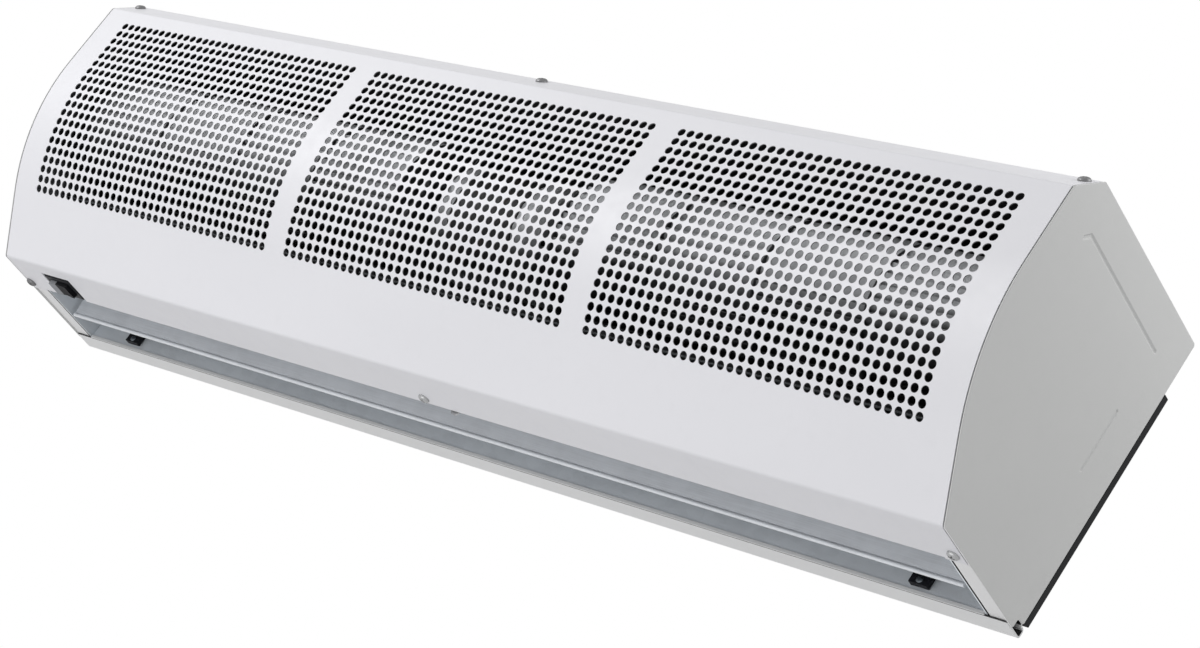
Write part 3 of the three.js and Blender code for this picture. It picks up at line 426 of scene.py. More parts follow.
def galvanised(name):
    """Galvanised sheet with zinc spangle, with painted shade: darker up in the nozzle, near black above it and on
    faces that look up.
    """
    color = GALVANISED
    finish = Finish(name, color, 0.38, metallic=0.2)
    spangle = finish.cells(7 * MM)
    fine = finish.noise(0.6 * MM)
    smear = finish.noise(30 * MM, stretch=(4, 1, 1))
    finish.tint(spangle, shade(color, 1.07), share=0.8, start=0.2, end=0.9)
    finish.tint(smear, shade(color, 0.93), share=0.6)
    finish.rough(spangle, 0.09)
    finish.bump(fine, 0.006 * MM)
    # Painted shade: darker with height in the nozzle, then near black higher up and on faces that look up
    low, high = (TOP - HEIGHT + rise for rise in NOZZLE_SHADE_RISE)
    finish.along("Position", "Z", shade(color, NOZZLE_SHADE), low, high)
    low, high = (shaft.z - drop for drop in NOZZLE_PAINTED_SHADE_DROP)
    finish.along("Position", "Z", PAINTED_SHADE, low, high)
    finish.along("Normal", "Z", PAINTED_SHADE, 0.2, 0.4)
    return finish.material


def drawn_metal(name, color, roughness, metallic):
    """Rolled or drawn metal with fine lines along its length."""
    finish = Finish(name, color, roughness, metallic)
    lines = finish.noise(0.5 * MM, stretch=(60, 1, 1), detail=4.0)
    patches = finish.noise(18 * MM)
    finish.tint(patches, shade(color, 0.86), share=0.7)
    finish.tint(lines, shade(color, 1.1), share=0.5)
    finish.rough(lines, 0.08)
    finish.bump(lines, 0.008 * MM)
    return finish.material


def fan_aluminium(name, color, roughness, metallic):
    """Rolled aluminium, clean where the light falls in, with painted shade on the far and lower side."""
    material = drawn_metal(name, color, roughness, metallic)
    finish = Finish.of(material)
    # Painted shade below and behind the shaft
    finish.along("Position", "Z", PAINTED_SHADE, *(shaft.z - drop for drop in FAN_PAINTED_SHADE_DROP))
    finish.along("Position", "Y", PAINTED_SHADE, *(shaft.y + back for back in FAN_PAINTED_SHADE_BACK))
    return material


def turned_metal(name, color, roughness=0.28):
    """Machined or plated metal with a fine, even texture."""
    finish = Finish(name, color, roughness, 1.0)
    tool = finish.noise(0.25 * MM, stretch=(1, 6, 6), detail=3.0)
    stain = finish.noise(4 * MM)
    finish.tint(stain, shade(color, 0.8), share=0.6)
    finish.rough(tool, 0.08)
    finish.bump(tool, 0.004 * MM)
    return finish.material


def moulded(name, color, roughness, relief=0.02 * MM, gloss=0.5):
    """Moulded plastic with a spark-eroded grain."""
    finish = Finish(name, color, roughness)
    finish.set("Specular IOR Level", gloss)
    texture = finish.noise(0.3 * MM, detail=2.0)
    wipe = finish.noise(12 * MM, detail=4.0)
    finish.tint(wipe, shade(color, 1.5), share=0.35)
    finish.rough(wipe, 0.07)
    finish.bump(texture, relief)
    return finish.material


def soft_rubber(name, color):
    """Matt rubber with a chalky bloom."""
    finish = Finish(name, color, 0.75)
    bloom = finish.noise(6 * MM, detail=6.0)
    texture = finish.noise(0.4 * MM)
    finish.tint(bloom, (0.12, 0.12, 0.12), share=0.35, start=0.5, end=0.75)
    finish.bump(texture, 0.02 * MM)
    return finish.material


def laminated(name, color):
    """A stack of stamped steel sheets along X, varnished and a little rusty."""
    finish = Finish(name, color, 0.5, metallic=0.8)
    sheets = finish.noise(0.5 * MM, stretch=(1, 200, 200), detail=1.0)
    rust = finish.noise(8 * MM, detail=6.0)
    finish.tint(sheets, shade(color, 0.6), share=0.8)
    finish.tint(rust, (0.09, 0.06, 0.045), share=0.3, start=0.55, end=0.7)
    finish.rough(rust, 0.12)
    finish.bump(sheets, 0.05 * MM)
    return finish.material


# The finish of each material slot
finishes = {
    "cover_paint": powder_coat("cover_powder_coat", (0.80, 0.80, 0.835), inner=INNER_SHADE),
    "casing_paint": powder_coat("casing_powder_coat", (0.78, 0.785, 0.79), inner=INNER_SHADE),
    "cap_paint": powder_coat("end_cap_powder_coat", (0.66, 0.665, 0.66), roughness=0.5),
    "bare_sheet": galvanised("galvanised_sheet"),
    "aluminium": fan_aluminium("mill_aluminium", (0.56, 0.57, 0.59), 0.58, 0.35),
    "vane_sheet": drawn_metal("anodised_aluminium", (0.80, 0.83, 0.87), 0.45, 0.15),
    "steel": turned_metal("machined_steel", (0.48, 0.49, 0.50)),
    "zinc": turned_metal("bright_zinc", (0.44, 0.445, 0.45), 0.3),
    "black_plastic": moulded("black_plastic", (0.006, 0.0065, 0.009), 0.5, gloss=0.2),
    "ivory_plastic": moulded("ivory_plastic", (0.72, 0.68, 0.58), 0.38, relief=0.008 * MM),
    "rubber": soft_rubber("rubber", (0.018, 0.018, 0.019)),
    "plate_paint": powder_coat(
        "black_plate_paint", (0.008, 0.0085, 0.01), roughness=0.55, gloss=0.15
    ),
    "cable": moulded("cable_sheath", (0.03, 0.031, 0.034), 0.5, relief=0.006 * MM),
}
# Painted light: the caps' faces that look down, such as the lower rims, are lighter than their other faces
Finish.of(finishes["cap_paint"]).along("Normal", "Z", (0.84, 0.84, 0.845), -0.6, -0.8)

# Finishes of single pieces, and of parts of pieces
hem_paint = powder_coat("hem_powder_coat", (0.80, 0.805, 0.81))
# Painted shade on the walls of the punched holes
hole_wall_shade = powder_coat("punched_edge_shade", (0.30, 0.30, 0.31))
# Painted shade on the cut edge of the caps' turned-in rims
rim_cut_shade = powder_coat("cap_rim_cut_shade", (0.03, 0.03, 0.031), roughness=0.6, gloss=0.1)
rivet_steel = turned_metal("rivet_steel", (0.13, 0.145, 0.16), 0.42)
# Painted shade: a darker copy of the zinc, for the screws that lie in shade
shaded_zinc = turned_metal("shaded_zinc", (0.20, 0.20, 0.205), 0.4)
# Painted shade: near-black discs, where little light gets in between the blades
disc_shade_metal = drawn_metal("disc_aluminium_shaded", (0.06, 0.061, 0.064), 0.5, 0.4)
lamination = laminated("stator_laminations", (0.045, 0.045, 0.046))
own_finish = {"motor_stator": lamination, "motor_rotor": lamination}

# Painted shade: the side plates' outer faces, in the gap against the caps, are near black
for name, outward in (("left", -1), ("right", 1)):
    material = galvanised(f"side_sheet_{name}")
    Finish.of(material).along("Normal", "X", PAINTED_SHADE, 0.6 * outward, 0.8 * outward)
    own_finish[f"side_plate_{name}"] = material

# The rocker has a pale end
ROCKER_PALE_SHARE = 0.36
ROCKER_PALE_BLUR = 0.4 * MM
rocker_low, rocker_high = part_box("switch_rocker")
pale_end = rocker_low.x + (rocker_high.x - rocker_low.x) * ROCKER_PALE_SHARE
rocker_plastic = moulded(
    "rocker_plastic", (0.005, 0.0052, 0.007), 0.6, relief=0.006 * MM, gloss=0.12
)
Finish.of(rocker_plastic).along(
    "Position", "X", (0.30, 0.31, 0.33), pale_end + ROCKER_PALE_BLUR, pale_end - ROCKER_PALE_BLUR
)
own_finish["switch_rocker"] = rocker_plastic

# ---------- Carried-over pieces ----------

SMOOTH_BELOW = 31  # degrees between two facets
SMOOTHER = {"deflector_vane": 40}  # its rolled edge has coarse facets
BEVEL_ABOVE = 40
ROUNDED_EDGES = {
    "casing": 0.3 * MM,
    "wall_plate": 0.3 * MM,
    "cable_grommet": 0.4 * MM,
    "air_tongue": 0.25 * MM,
    "scroll_guide": 0.25 * MM,
    "switch_housing": 0.5 * MM,
    "terminal_block": 0.4 * MM,
    "capacitor": 1.2 * MM,
    "vane_clip_left": 0.5 * MM,
    "vane_clip_right": 0.5 * MM,
    "motor_end_bell_left": 0.8 * MM,
    "motor_end_bell_right": 0.8 * MM,
}


def even_mesh_group():
    """Geometry nodes that weld a faceted solid and smooth all but its sharp edges."""
    group = bpy.data.node_groups.new("even_mesh", "GeometryNodeTree")
    sockets = group.interface
    sockets.new_socket("Geometry", in_out="INPUT", socket_type="NodeSocketGeometry")
    limit = sockets.new_socket("Smooth below", in_out="INPUT", socket_type="NodeSocketFloat")
    limit.default_value = math.radians(SMOOTH_BELOW)
    sockets.new_socket("Geometry", in_out="OUTPUT", socket_type="NodeSocketGeometry")
    nodes, links = group.nodes, group.links
    start = nodes.new("NodeGroupInput")
    end = nodes.new("NodeGroupOutput")
    weld = nodes.new("GeometryNodeMergeByDistance")
    weld.inputs["Distance"].default_value = 0.01 * MM
    forget = nodes.new("GeometryNodeRemoveAttribute")
    forget.inputs["Name"].default_value = "custom_normal"
    smooth = nodes.new("GeometryNodeSetShadeSmooth")
    angle = nodes.new("GeometryNodeInputMeshEdgeAngle")
    test = nodes.new("FunctionNodeCompare")
    test.operation = "LESS_THAN"
    links.new(start.outputs[1], test.inputs[1])
    edges = nodes.new("GeometryNodeSetShadeSmooth")
    edges.domain = "EDGE"
    links.new(start.outputs[0], weld.inputs["Geometry"])
    links.new(weld.outputs["Geometry"], forget.inputs["Geometry"])
    links.new(forget.outputs["Geometry"], smooth.inputs["Geometry"])
    links.new(smooth.outputs["Geometry"], edges.inputs["Geometry"])
    links.new(angle.outputs["Unsigned Angle"], test.inputs[0])
    links.new(test.outputs["Result"], edges.inputs["Shade Smooth"])
    links.new(edges.outputs["Geometry"], end.inputs[0])
    return group


even_mesh = even_mesh_group()
even_mesh_angle = even_mesh.interface.items_tree["Smooth below"].identifier


def dress(node, material, edge):
    """A carried-over solid with a material, even shading and, where it shows, rounded edges."""
    obj = frame["nodes"][node]
    obj.data.materials.clear()
    obj.data.materials.append(material)
    even = obj.modifiers.new("even_mesh", "NODES")
    even.node_group = even_mesh
    if node in SMOOTHER:
        even[even_mesh_angle] = math.radians(SMOOTHER[node])
    if edge:
        bevel = obj.modifiers.new("edges", "BEVEL")
        bevel.width = edge
        bevel.segments = 2
        bevel.limit_method = "ANGLE"
        bevel.angle_limit = math.radians(BEVEL_ABOVE)
    weigh = obj.modifiers.new("even_shading", "WEIGHTED_NORMAL")
    weigh.keep_sharp = True


slot_of = {sub["node"]: sub["material_slot"] for sub in frame["record"]["subparts"]}
for node_name in frame["nodes"]:
    material = own_finish.get(node_name, finishes[slot_of[node_name]])
    dress(node_name, material, ROUNDED_EDGES.get(node_name, 0.0))

# ---------- Front cover ----------

chamfer_length = CHAMFER * math.sqrt(2)
flat_length = FLAT_DROP - CHAMFER
arc_length = FRONT_RADIUS * FRONT_SWEEP
arc_centre = (DEPTH - FRONT_RADIUS, FLAT_DROP)
arc_end = (
    arc_centre[0] + FRONT_RADIUS * math.cos(FRONT_SWEEP),
    arc_centre[1] + FRONT_RADIUS * math.sin(FRONT_SWEEP),
)
bottom_front = arc_end[0] - (HEIGHT - arc_end[1]) * math.tan(FRONT_SWEEP)


def front_point(distance):
    """The (front, down) point at a distance along the front from its upper edge."""
    if distance < chamfer_length:
        step = distance / math.sqrt(2)
        return (DEPTH - CHAMFER + step, step)
    distance -= chamfer_length
    if distance < flat_length:
        return (DEPTH, CHAMFER + distance)
    angle = (distance - flat_length) / FRONT_RADIUS
    if angle < FRONT_SWEEP:
        return (
            arc_centre[0] + FRONT_RADIUS * math.cos(angle),
            arc_centre[1] + FRONT_RADIUS * math.sin(angle),
        )
    rest = distance - flat_length - arc_length
    return (
        arc_end[0] - rest * math.sin(FRONT_SWEEP),
        arc_end[1] + rest * math.cos(FRONT_SWEEP),
    )


front_curve = [
    front_point(chamfer_length + flat_length + arc_length * i / FRONT_STEPS)
    for i in range(FRONT_STEPS + 1)
]

field_width = (FIELD_COLUMNS - 1) * HOLE_PITCH
field_starts = [
    -COVER_END + FIELD_END_MARGIN + i * (field_width + FIELD_BRIDGE) for i in range(FIELDS)
]
switch_low, switch_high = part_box("switch_housing")
notch = (
    switch_low.x - NOTCH_GAP,
    switch_high.x + NOTCH_GAP,
    BACK - switch_low.y + NOTCH_GAP,
)


def cover_rows():
    """Rows of the plain parts of the cover: above the holes, and below them."""
    above = [front_point(COVER_TOP * math.sqrt(2))]
    above += round_corner(above[0], (DEPTH, CHAMFER), (DEPTH, FLAT_DROP), BEND, steps=5)
    corner = (bottom_front, HEIGHT)
    lip = (LIP, HEIGHT)
    upstand = (LIP, HEIGHT - LIP_RISE)
    below = round_corner(arc_end, corner, lip, COVER_BOTTOM_BEND, steps=8)
    below.append((notch[2], HEIGHT))
    below += round_corner(corner, lip, upstand, BEND, steps=6)
    below.append(upstand)
    return above, below


def front_cover():
    """The perforated cover: every punched hole, the folds, the lip and the notch for the switch."""
    bm = bmesh.new()
    first_edge = FIELD_TOP - HOLE_PITCH / 2
    last_edge = first_edge + FIELD_ROWS * HOLE_PITCH
    known = {}
    punched = set()

    def vertex(x, distance):
        key = (round(x / MM, 3), round(distance / MM, 3))
        if key not in known:
            known[key] = bm.verts.new(at(x, *front_point(distance)))
        return known[key]

    # Cells: a square in four parts round a hole, with plain strips between the fields
    quarter = range(HOLE_STEPS + 1)
    corners = 4 * HOLE_STEPS
    half = HOLE_PITCH / 2
    for start in field_starts:
        for column in range(FIELD_COLUMNS):
            x = start + column * HOLE_PITCH
            for row in range(FIELD_ROWS):
                middle = FIELD_TOP + row * HOLE_PITCH
                rim = []
                for k in range(corners):
                    angle = 2 * math.pi * k / corners - math.radians(135)
                    across = x + HOLE_RADIUS * math.cos(angle)
                    along = middle + HOLE_RADIUS * math.sin(angle)
                    rim.append(bm.verts.new(at(across, *front_point(along))))
                punched.update(rim)
                square = [(-half, -half), (half, -half), (half, half), (-half, half)]
                square = [vertex(x + dx, middle + ds) for dx, ds in square]
                for side in range(4):
                    inner = [rim[(side * HOLE_STEPS + k) % corners] for k in quarter]
                    bm.faces.new([square[side], square[(side + 1) % 4], *reversed(inner)])
    edges = [-COVER_END]
    for start in field_starts:
        edges += [start - half, start + field_width + half]
    edges.append(COVER_END)
    for left, right in zip(edges[::2], edges[1::2]):
        for k in range(FIELD_ROWS):
            s0 = first_edge + k * HOLE_PITCH
            s1 = s0 + HOLE_PITCH
            bm.faces.new((vertex(left, s0), vertex(right, s0), vertex(right, s1), vertex(left, s1)))
    lattice = [-COVER_END]
    for start in field_starts:
        lattice += [start - half + i * HOLE_PITCH for i in range(FIELD_COLUMNS + 1)]
    lattice.append(COVER_END)

    # Plain rows on a coarse lattice, with the notch and the cut ends of the lip left out
    coarse = sorted(edges + [notch[0], notch[1], -AIR_END, AIR_END])
    above, below = cover_rows()

    def plain_rows(rows, skip):
        grid = [[bm.verts.new(at(x, *point)) for x in coarse] for point in rows]
        for r in range(len(rows) - 1):
            for c in range(len(coarse) - 1):
                if not skip(r, c):
                    bm.faces.new((grid[r][c], grid[r][c + 1], grid[r + 1][c + 1], grid[r + 1][c]))
        return grid

    notch_row = next(i for i, point in enumerate(below) if point == (notch[2], HEIGHT))

    def left_out(r, c):
        in_notch = notch[0] - GAP < coarse[c] < notch[1] - GAP and r >= notch_row
        cut_end = (coarse[c] < -AIR_END - GAP or coarse[c] > AIR_END - GAP) and r > notch_row
        return in_notch or cut_end

    upper = plain_rows(above, lambda r, c: False)
    lower = plain_rows(below, left_out)

    def fan(fine_row, coarse_row, flip):
        """Flat faces between a finely and a coarsely divided row."""
        for left, right in zip(edges, edges[1:]):
            inside = [v for v in fine_row if left - GAP / 2 < v.co.x < right + GAP / 2]
            outside = [v for v in coarse_row if left - GAP / 2 < v.co.x < right + GAP / 2]
            loop = inside + outside[::-1]
            bm.faces.new(loop[::-1] if flip else loop)

    fan([vertex(x, last_edge) for x in lattice], lower[0], False)
    fan([vertex(x, first_edge) for x in lattice], upper[-1], True)

    # The flange beside the lip's cut ends stays flat
    flange_end = lower[notch_row + 1]
    for side in (0, len(coarse) - 2):
        a, b = flange_end[side], flange_end[side + 1]
        tips = [bm.verts.new(at(v.co.x, LIP, HEIGHT)) for v in (a, b)]
        bm.faces.new((a, b, tips[1], tips[0]))

    loose = [v for v in bm.verts if not v.link_faces]
    bmesh.ops.delete(bm, geom=loose, context="VERTS")
    bmesh.ops.recalc_face_normals(bm, faces=bm.faces)
    outward = max(bm.faces, key=lambda f: -f.calc_center_median().y)
    if outward.normal.y > 0:
        bmesh.ops.reverse_faces(bm, faces=bm.faces)
    thicken(bm, COVER_SHEET, punched)
    piece(
        "perforated_cover",
        bm,
        [finishes["cover_paint"], hole_wall_shade],
        replaces=("front_cover",),
        turn_faces=False,
    )


front_cover()

# ---------- End caps ----------

CAP_EDGE = 0.5 * MM  # rounding of the cap's face into its edge
CAP_EDGE_STEPS = 4
CAP_SHEET = 0.9 * MM
RIM_GAP = 1.2 * MM  # between the rim and the side plate
CREASE_WIDTH = 3.6 * MM
CREASE_DEPTH = 1.1 * MM
CREASE_STEPS = 5
RIM_EDGE_RING = CAP_EDGE_STEPS + 3  # the rim's cut edge, counted from the cap's face
CREASE_TOP = [(139.4 * MM, 33.1 * MM), (135 * MM, 28.2 * MM), (29.8 * MM, 29.2 * MM)]
CREASE_BACK = [(30.5 * MM, 75 * MM), (30.5 * MM, 118 * MM)]


def cap_outline():
    """The cap's sharp outline, clockwise as seen from +X, with the notch beside the foot."""
    level = HEIGHT - FOOT_NOTCH
    foot = [(FOOT_NOTCH, HEIGHT), (FOOT_NOTCH, level), (0, level)]
    top = [(0, 0), (DEPTH - CHAMFER, 0), (DEPTH, CHAMFER)]
    return [*foot, *top, *front_curve, (bottom_front, HEIGHT)]


def cap_ring(bm, side, x, distance):
    """The outline moved inwards, as vertices at x."""
    loop = inset(cap_outline(), distance)
    loop = round_path(loop, max(BEND - distance, GAP), steps=5, closed=True)
    return [bm.verts.new(at(side * x, *p)) for p in loop]


def groove_ring(path, offset):
    """A closed loop round an open path at an offset, with round ends."""
    left, right = [], []
    for i, point in enumerate(path):
        sides = []
        if i:
            sides.append(unit(path[i - 1], point))
        if i < len(path) - 1:
            sides.append(unit(point, path[i + 1]))
        nx = -sum(d[1] for d in sides)
        ny = sum(d[0] for d in sides)
        scale = offset * len(sides) / (nx * nx + ny * ny)
        left.append((point[0] + nx * scale, point[1] + ny * scale))
        right.append((point[0] - nx * scale, point[1] - ny * scale))

    def round_end(centre, direction):
        start = math.atan2(direction[1], direction[0]) + math.pi / 2
        return arc(centre, offset, start, start - math.pi, steps=6)

    far_end = round_end(path[-1], unit(path[-2], path[-1]))
    near_end = round_end(path[0], unit(path[1], path[0]))
    return left[:-1] + far_end + right[1:-1][::-1] + near_end[:-1]


def end_cap(side, node):
    """A cap with a rounded edge, pressed lines and a rim turned in under the sheets."""
    bm = bmesh.new()
    rings = []
    for k in range(CAP_EDGE_STEPS + 1):
        angle = math.pi / 2 * k / CAP_EDGE_STEPS
        x = END - CAP_EDGE * (1 - math.cos(angle))
        rings.append(cap_ring(bm, side, x, CAP_EDGE * (1 - math.sin(angle))))
    inner_face = END - CAP_SHEET
    rim = SHEET + GAP
    rings.append(cap_ring(bm, side, inner_face, 0))
    rings.append(cap_ring(bm, side, inner_face, rim))
    rings.append(cap_ring(bm, side, cap_low.x + RIM_GAP, rim))
    rings.append(cap_ring(bm, side, cap_low.x + RIM_GAP, rim + SHEET))
    rings.append(cap_ring(bm, side, inner_face, rim + SHEET))
    for i, (a, b) in enumerate(zip(rings, rings[1:])):
        made = bridge(bm, a, b)
        # The rim's cut edge gets painted shade
        if i == RIM_EDGE_RING:
            for face in made:
                face.material_index = 1
    bm.faces.new(rings[-1])

    border = ring_edges(bm, rings[0])
    for path in (CREASE_TOP, CREASE_BACK):
        groove = []
        for k in range(CREASE_STEPS + 1):
            share = 1 - k / (CREASE_STEPS + 0.5)
            depth = CREASE_DEPTH * (1 + math.cos(math.pi * share)) / 2
            loop = groove_ring(path, CREASE_WIDTH / 2 * share)
            groove.append([bm.verts.new(at(side * (END - depth), *p)) for p in loop])
        for a, b in zip(groove, groove[1:]):
            bridge(bm, a, b)
        bm.faces.new(groove[-1])
        border += ring_edges(bm, groove[0])
    bmesh.ops.triangle_fill(bm, edges=border, use_beauty=True)
    piece(
        f"{node}_shell",
        bm,
        [finishes["cap_paint"], rim_cut_shade],
        replaces=(node,),
        sharp=40,
    )


end_cap(1, "end_cap_right")
end_cap(-1, "end_cap_left")

# ---------- Screws ----------

HEAD_RADIUS = 4.1 * MM
HEAD_HEIGHT = 2.4 * MM
HEAD_STEPS = 32
CROWN_STEPS = 8
CROWN_POWERS = (0.62, 0.85)  # across and up; 1 and 1 would give an ellipse
SHANK_RADIUS = 1.9 * MM
SHANK_LENGTH = 7.5 * MM
SHANK_TIP = 0.6 * MM  # before the first thread
SHANK_NECK = 0.2 * MM  # plain below the head
THREADS = 6
THREAD_PITCH = (SHANK_LENGTH - 1 * MM) / THREADS
THREAD_CORE = SHANK_RADIUS * 0.78
RECESS_WIDTH = 1.3 * MM
RECESS_REACH = 2.8 * MM
RECESS_DEPTH = 2.0 * MM
RECESS_TAPER = 0.55  # width of the recess's floor against its mouth
TOP_SCREW_DROP = 6.7 * MM  # screws on the chamfer, below the top
BOTTOM_SHIFT = {"left": -3.3 * MM, "middle": 0, "right": 0}  # the left one sits closer to its end
NOZZLE_DROP = 2 * MM  # the head hangs a little below the lip
SCREW_TURNS = {"left": 0.3, "middle": 0.75, "right": 1.1}  # radians
TOP_TURN = 0.4  # more for the screws on the chamfer
NOZZLE_TURN = 0.5


def screw_mesh():
    """A pan-head screw along +Z whose head rests on Z = 0, with a cross recess."""
    head = bmesh.new()
    profile = [(0, -SHANK_LENGTH), (SHANK_RADIUS * 0.5, -SHANK_LENGTH)]
    for k in range(THREADS):
        z = -SHANK_LENGTH + SHANK_TIP + k * THREAD_PITCH
        profile += [(THREAD_CORE, z), (SHANK_RADIUS, z + THREAD_PITCH * 0.5)]
    profile += [(THREAD_CORE, -SHANK_NECK), (THREAD_CORE, 0), (HEAD_RADIUS, 0)]
    across, up = CROWN_POWERS
    for k in range(CROWN_STEPS + 1):
        angle = math.pi / 2 * k / CROWN_STEPS
        radius = HEAD_RADIUS * math.cos(angle) ** across
        profile.append((radius, HEAD_HEIGHT * math.sin(angle) ** up))
    profile[-1] = (0, HEAD_HEIGHT)
    lathe(head, profile, HEAD_STEPS, Vector((0, 0, 0)), axis="Z")
    bmesh.ops.recalc_face_normals(head, faces=head.faces)
    mesh = mesh_of("pan_head_screw", head)

    cutter = bmesh.new()
    for turn in (0, math.pi / 2):
        bar = bmesh.ops.create_cube(cutter, size=1)["verts"]
        scale = Matrix.Diagonal((2 * RECESS_REACH, RECESS_WIDTH, 2 * RECESS_DEPTH, 1))
        lift = Matrix.Translation((0, 0, HEAD_HEIGHT))
        bmesh.ops.transform(cutter, matrix=Matrix.Rotation(turn, 4, "Z") @ lift @ scale, verts=bar)
        for v in bar:
            if v.co.z < HEAD_HEIGHT:
                v.co.x *= RECESS_TAPER
                v.co.y *= RECESS_TAPER
    body = placed("screw_body", mesh)
    tool = placed("screw_tool", mesh_of("cross_cutter", cutter))
    cut = body.modifiers.new("recess", "BOOLEAN")
    cut.object = tool
    cut.operation = "DIFFERENCE"
    cut.solver = "EXACT"
    cut.use_self = True
    graph = bpy.context.evaluated_depsgraph_get()
    result = bpy.data.meshes.new_from_object(body.evaluated_get(graph))
    for obj in (body, tool):
        bpy.data.objects.remove(obj)
    result.name = "pan_head_screw"
    result.shade_smooth()
    result.set_sharp_from_angle(angle=math.radians(38))
    result.materials.clear()
    result.materials.append(finishes["zinc"])
    return result


bright_screw = screw_mesh()
# A darker copy with painted shade, for screws that lie in shade
shaded_screw = bright_screw.copy()
shaded_screw.name = "pan_head_screw_shaded"
shaded_screw.materials[0] = shaded_zinc


def place_screw(node, screw, point, direction, turn):
    """A screw whose head rests at a point and faces a direction."""
    obj = placed(f"{node}_crosshead", screw)
    facing = Vector(direction).to_track_quat("Z", "Y").to_matrix().to_4x4()
    obj.matrix_world = Matrix.Translation(point) @ facing @ Matrix.Rotation(turn, 4, "Z")
    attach(obj, "root")
    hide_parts(node)


for place, turn in SCREW_TURNS.items():
    node = "cover_screw_top_" + place
    low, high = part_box(node)
    x = (low.x + high.x) / 2
    seat = at(x, DEPTH - CHAMFER + TOP_SCREW_DROP, TOP_SCREW_DROP)
    place_screw(node, shaded_screw, seat, (0, -1, 1), turn + TOP_TURN)
    node = "cover_screw_bottom_" + place
    low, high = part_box(node)
    seat = Vector((x + BOTTOM_SHIFT[place], (low.y + high.y) / 2, TOP - HEIGHT))
    place_screw(node, shaded_screw if place == "left" else bright_screw, seat, (0, 0, -1), turn)
low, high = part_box("nozzle_screw")
nozzle_seat = Vector(((low.x + high.x) / 2, BACK - LIP, (low.z + high.z) / 2 - NOZZLE_DROP))
place_screw("nozzle_screw", bright_screw, nozzle_seat, (0, 1, 0), NOZZLE_TURN)

# ---------- Small pieces of the nozzle ----------

HEM = 0.7 * MM
HEM_HEIGHT = 2.9 * MM
HEM_END_GAP = 0.6 * MM
HEM_BOTTOM_GAP = 0.3 * MM
HEM_ROUNDING = 0.3 * MM
HEM_SINK = 0.1 * MM  # into the nozzle wall
CLIP_GAP = 0.3 * MM  # between a vane clip and the nozzle wall
RIVET_RADIUS = 2.7 * MM
RIVET_HEIGHT = 1.1 * MM
RIVET_STEPS = 24
RIVET_RISE = 8.4 * MM  # above the unit's bottom
RIVET_SEAT = 4 * MM  # in front of the clip's back
RIVET_SINK = 0.5 * MM  # into the clip


def lip_hem():
    """A folded hem over the joint of the rear nozzle wall and the lip."""
    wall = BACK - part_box("vane_clip_left")[1].y - CLIP_GAP  # front of the rear nozzle wall
    back, front = wall - HEM_SINK, wall + HEM
    bottom, top = HEIGHT - HEM_BOTTOM_GAP, HEIGHT - HEM_HEIGHT
    outline = [(back, bottom), (front, bottom), (front, top), (back, top)]
    section = round_path(outline, HEM_ROUNDING, steps=4, closed=True)
    end = AIR_END - HEM_END_GAP
    bm = bmesh.new()
    prism(bm, [at(-end, *p) for p in section], [at(end, *p) for p in section])
    piece("lip_hem", bm, [hem_paint])


def clip_rivet(place):
    """A domed rivet head on the lower part of a vane clip."""
    low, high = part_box("vane_clip_" + place)
    bm = bmesh.new()
    steps = 6
    angles = [math.pi / 2 * k / steps for k in range(steps + 1)]
    profile = [(0, -RIVET_SINK), (RIVET_RADIUS, -RIVET_SINK)]
    profile += [(RIVET_RADIUS * math.cos(a), RIVET_HEIGHT * math.sin(a)) for a in angles]
    profile[-1] = (0, RIVET_HEIGHT)
    lathe(bm, profile, RIVET_STEPS, Vector((0, 0, 0)), axis="Z")
    seat = at((low.x + high.x) / 2, BACK - high.y + RIVET_SEAT, HEIGHT - RIVET_RISE)
    bm.transform(Matrix.Translation(seat) @ Matrix.Rotation(math.pi / 2, 4, "X"))
    piece("clip_rivet_" + place, bm, [rivet_steel])


lip_hem()
clip_rivet("left")
clip_rivet("right")

# ---------- Impellers ----------

BLADES = 36
BAYS = 4
DISC = 1.2 * MM
DISC_EDGE = 0.4 * MM  # rounding of a disc's rim
DISC_RING = 5 * MM  # width of a middle disc inside the blades
DISC_STEPS = 64
HUB_BORE = 17 * MM  # radius of the bore for the hub bush
STUB_BORE = 7 * MM  # radius of the bore for the stub shaft
BLADE_SHEET = 0.6 * MM
BLADE_DEPTH = 11 * MM
BLADE_INSET = 1.2 * MM  # from the discs' rims
BLADE_STEPS = 6
BLADE_OFFSET = 0.37  # from bay to bay, as a share of the blades' spacing
BLADE_LEAN = math.radians(-15)  # outer edges go ahead as the rotor turns up at the front
BLADE_CAMBER = -2.2 * MM


def blade_section(start):
    """A hollow blade's closed section as (y, z) offsets from the shaft."""
    low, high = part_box("impeller_right")
    outer = (high.z - low.z) / 2 - BLADE_INSET
    inner = outer - BLADE_DEPTH
    root = Vector((inner * math.cos(start), inner * math.sin(start)))
    lead = start + BLADE_LEAN
    tip = Vector((outer * math.cos(lead), outer * math.sin(lead)))
    across = (tip - root).normalized()
    side = Vector((across.y, -across.x))
    middle = []
    for k in range(BLADE_STEPS + 1):
        t = k / BLADE_STEPS
        middle.append(root.lerp(tip, t) + side * BLADE_CAMBER * 4 * t * (1 - t))
    half = BLADE_SHEET / 2
    return [p + side * half for p in middle] + [p - side * half for p in reversed(middle)]


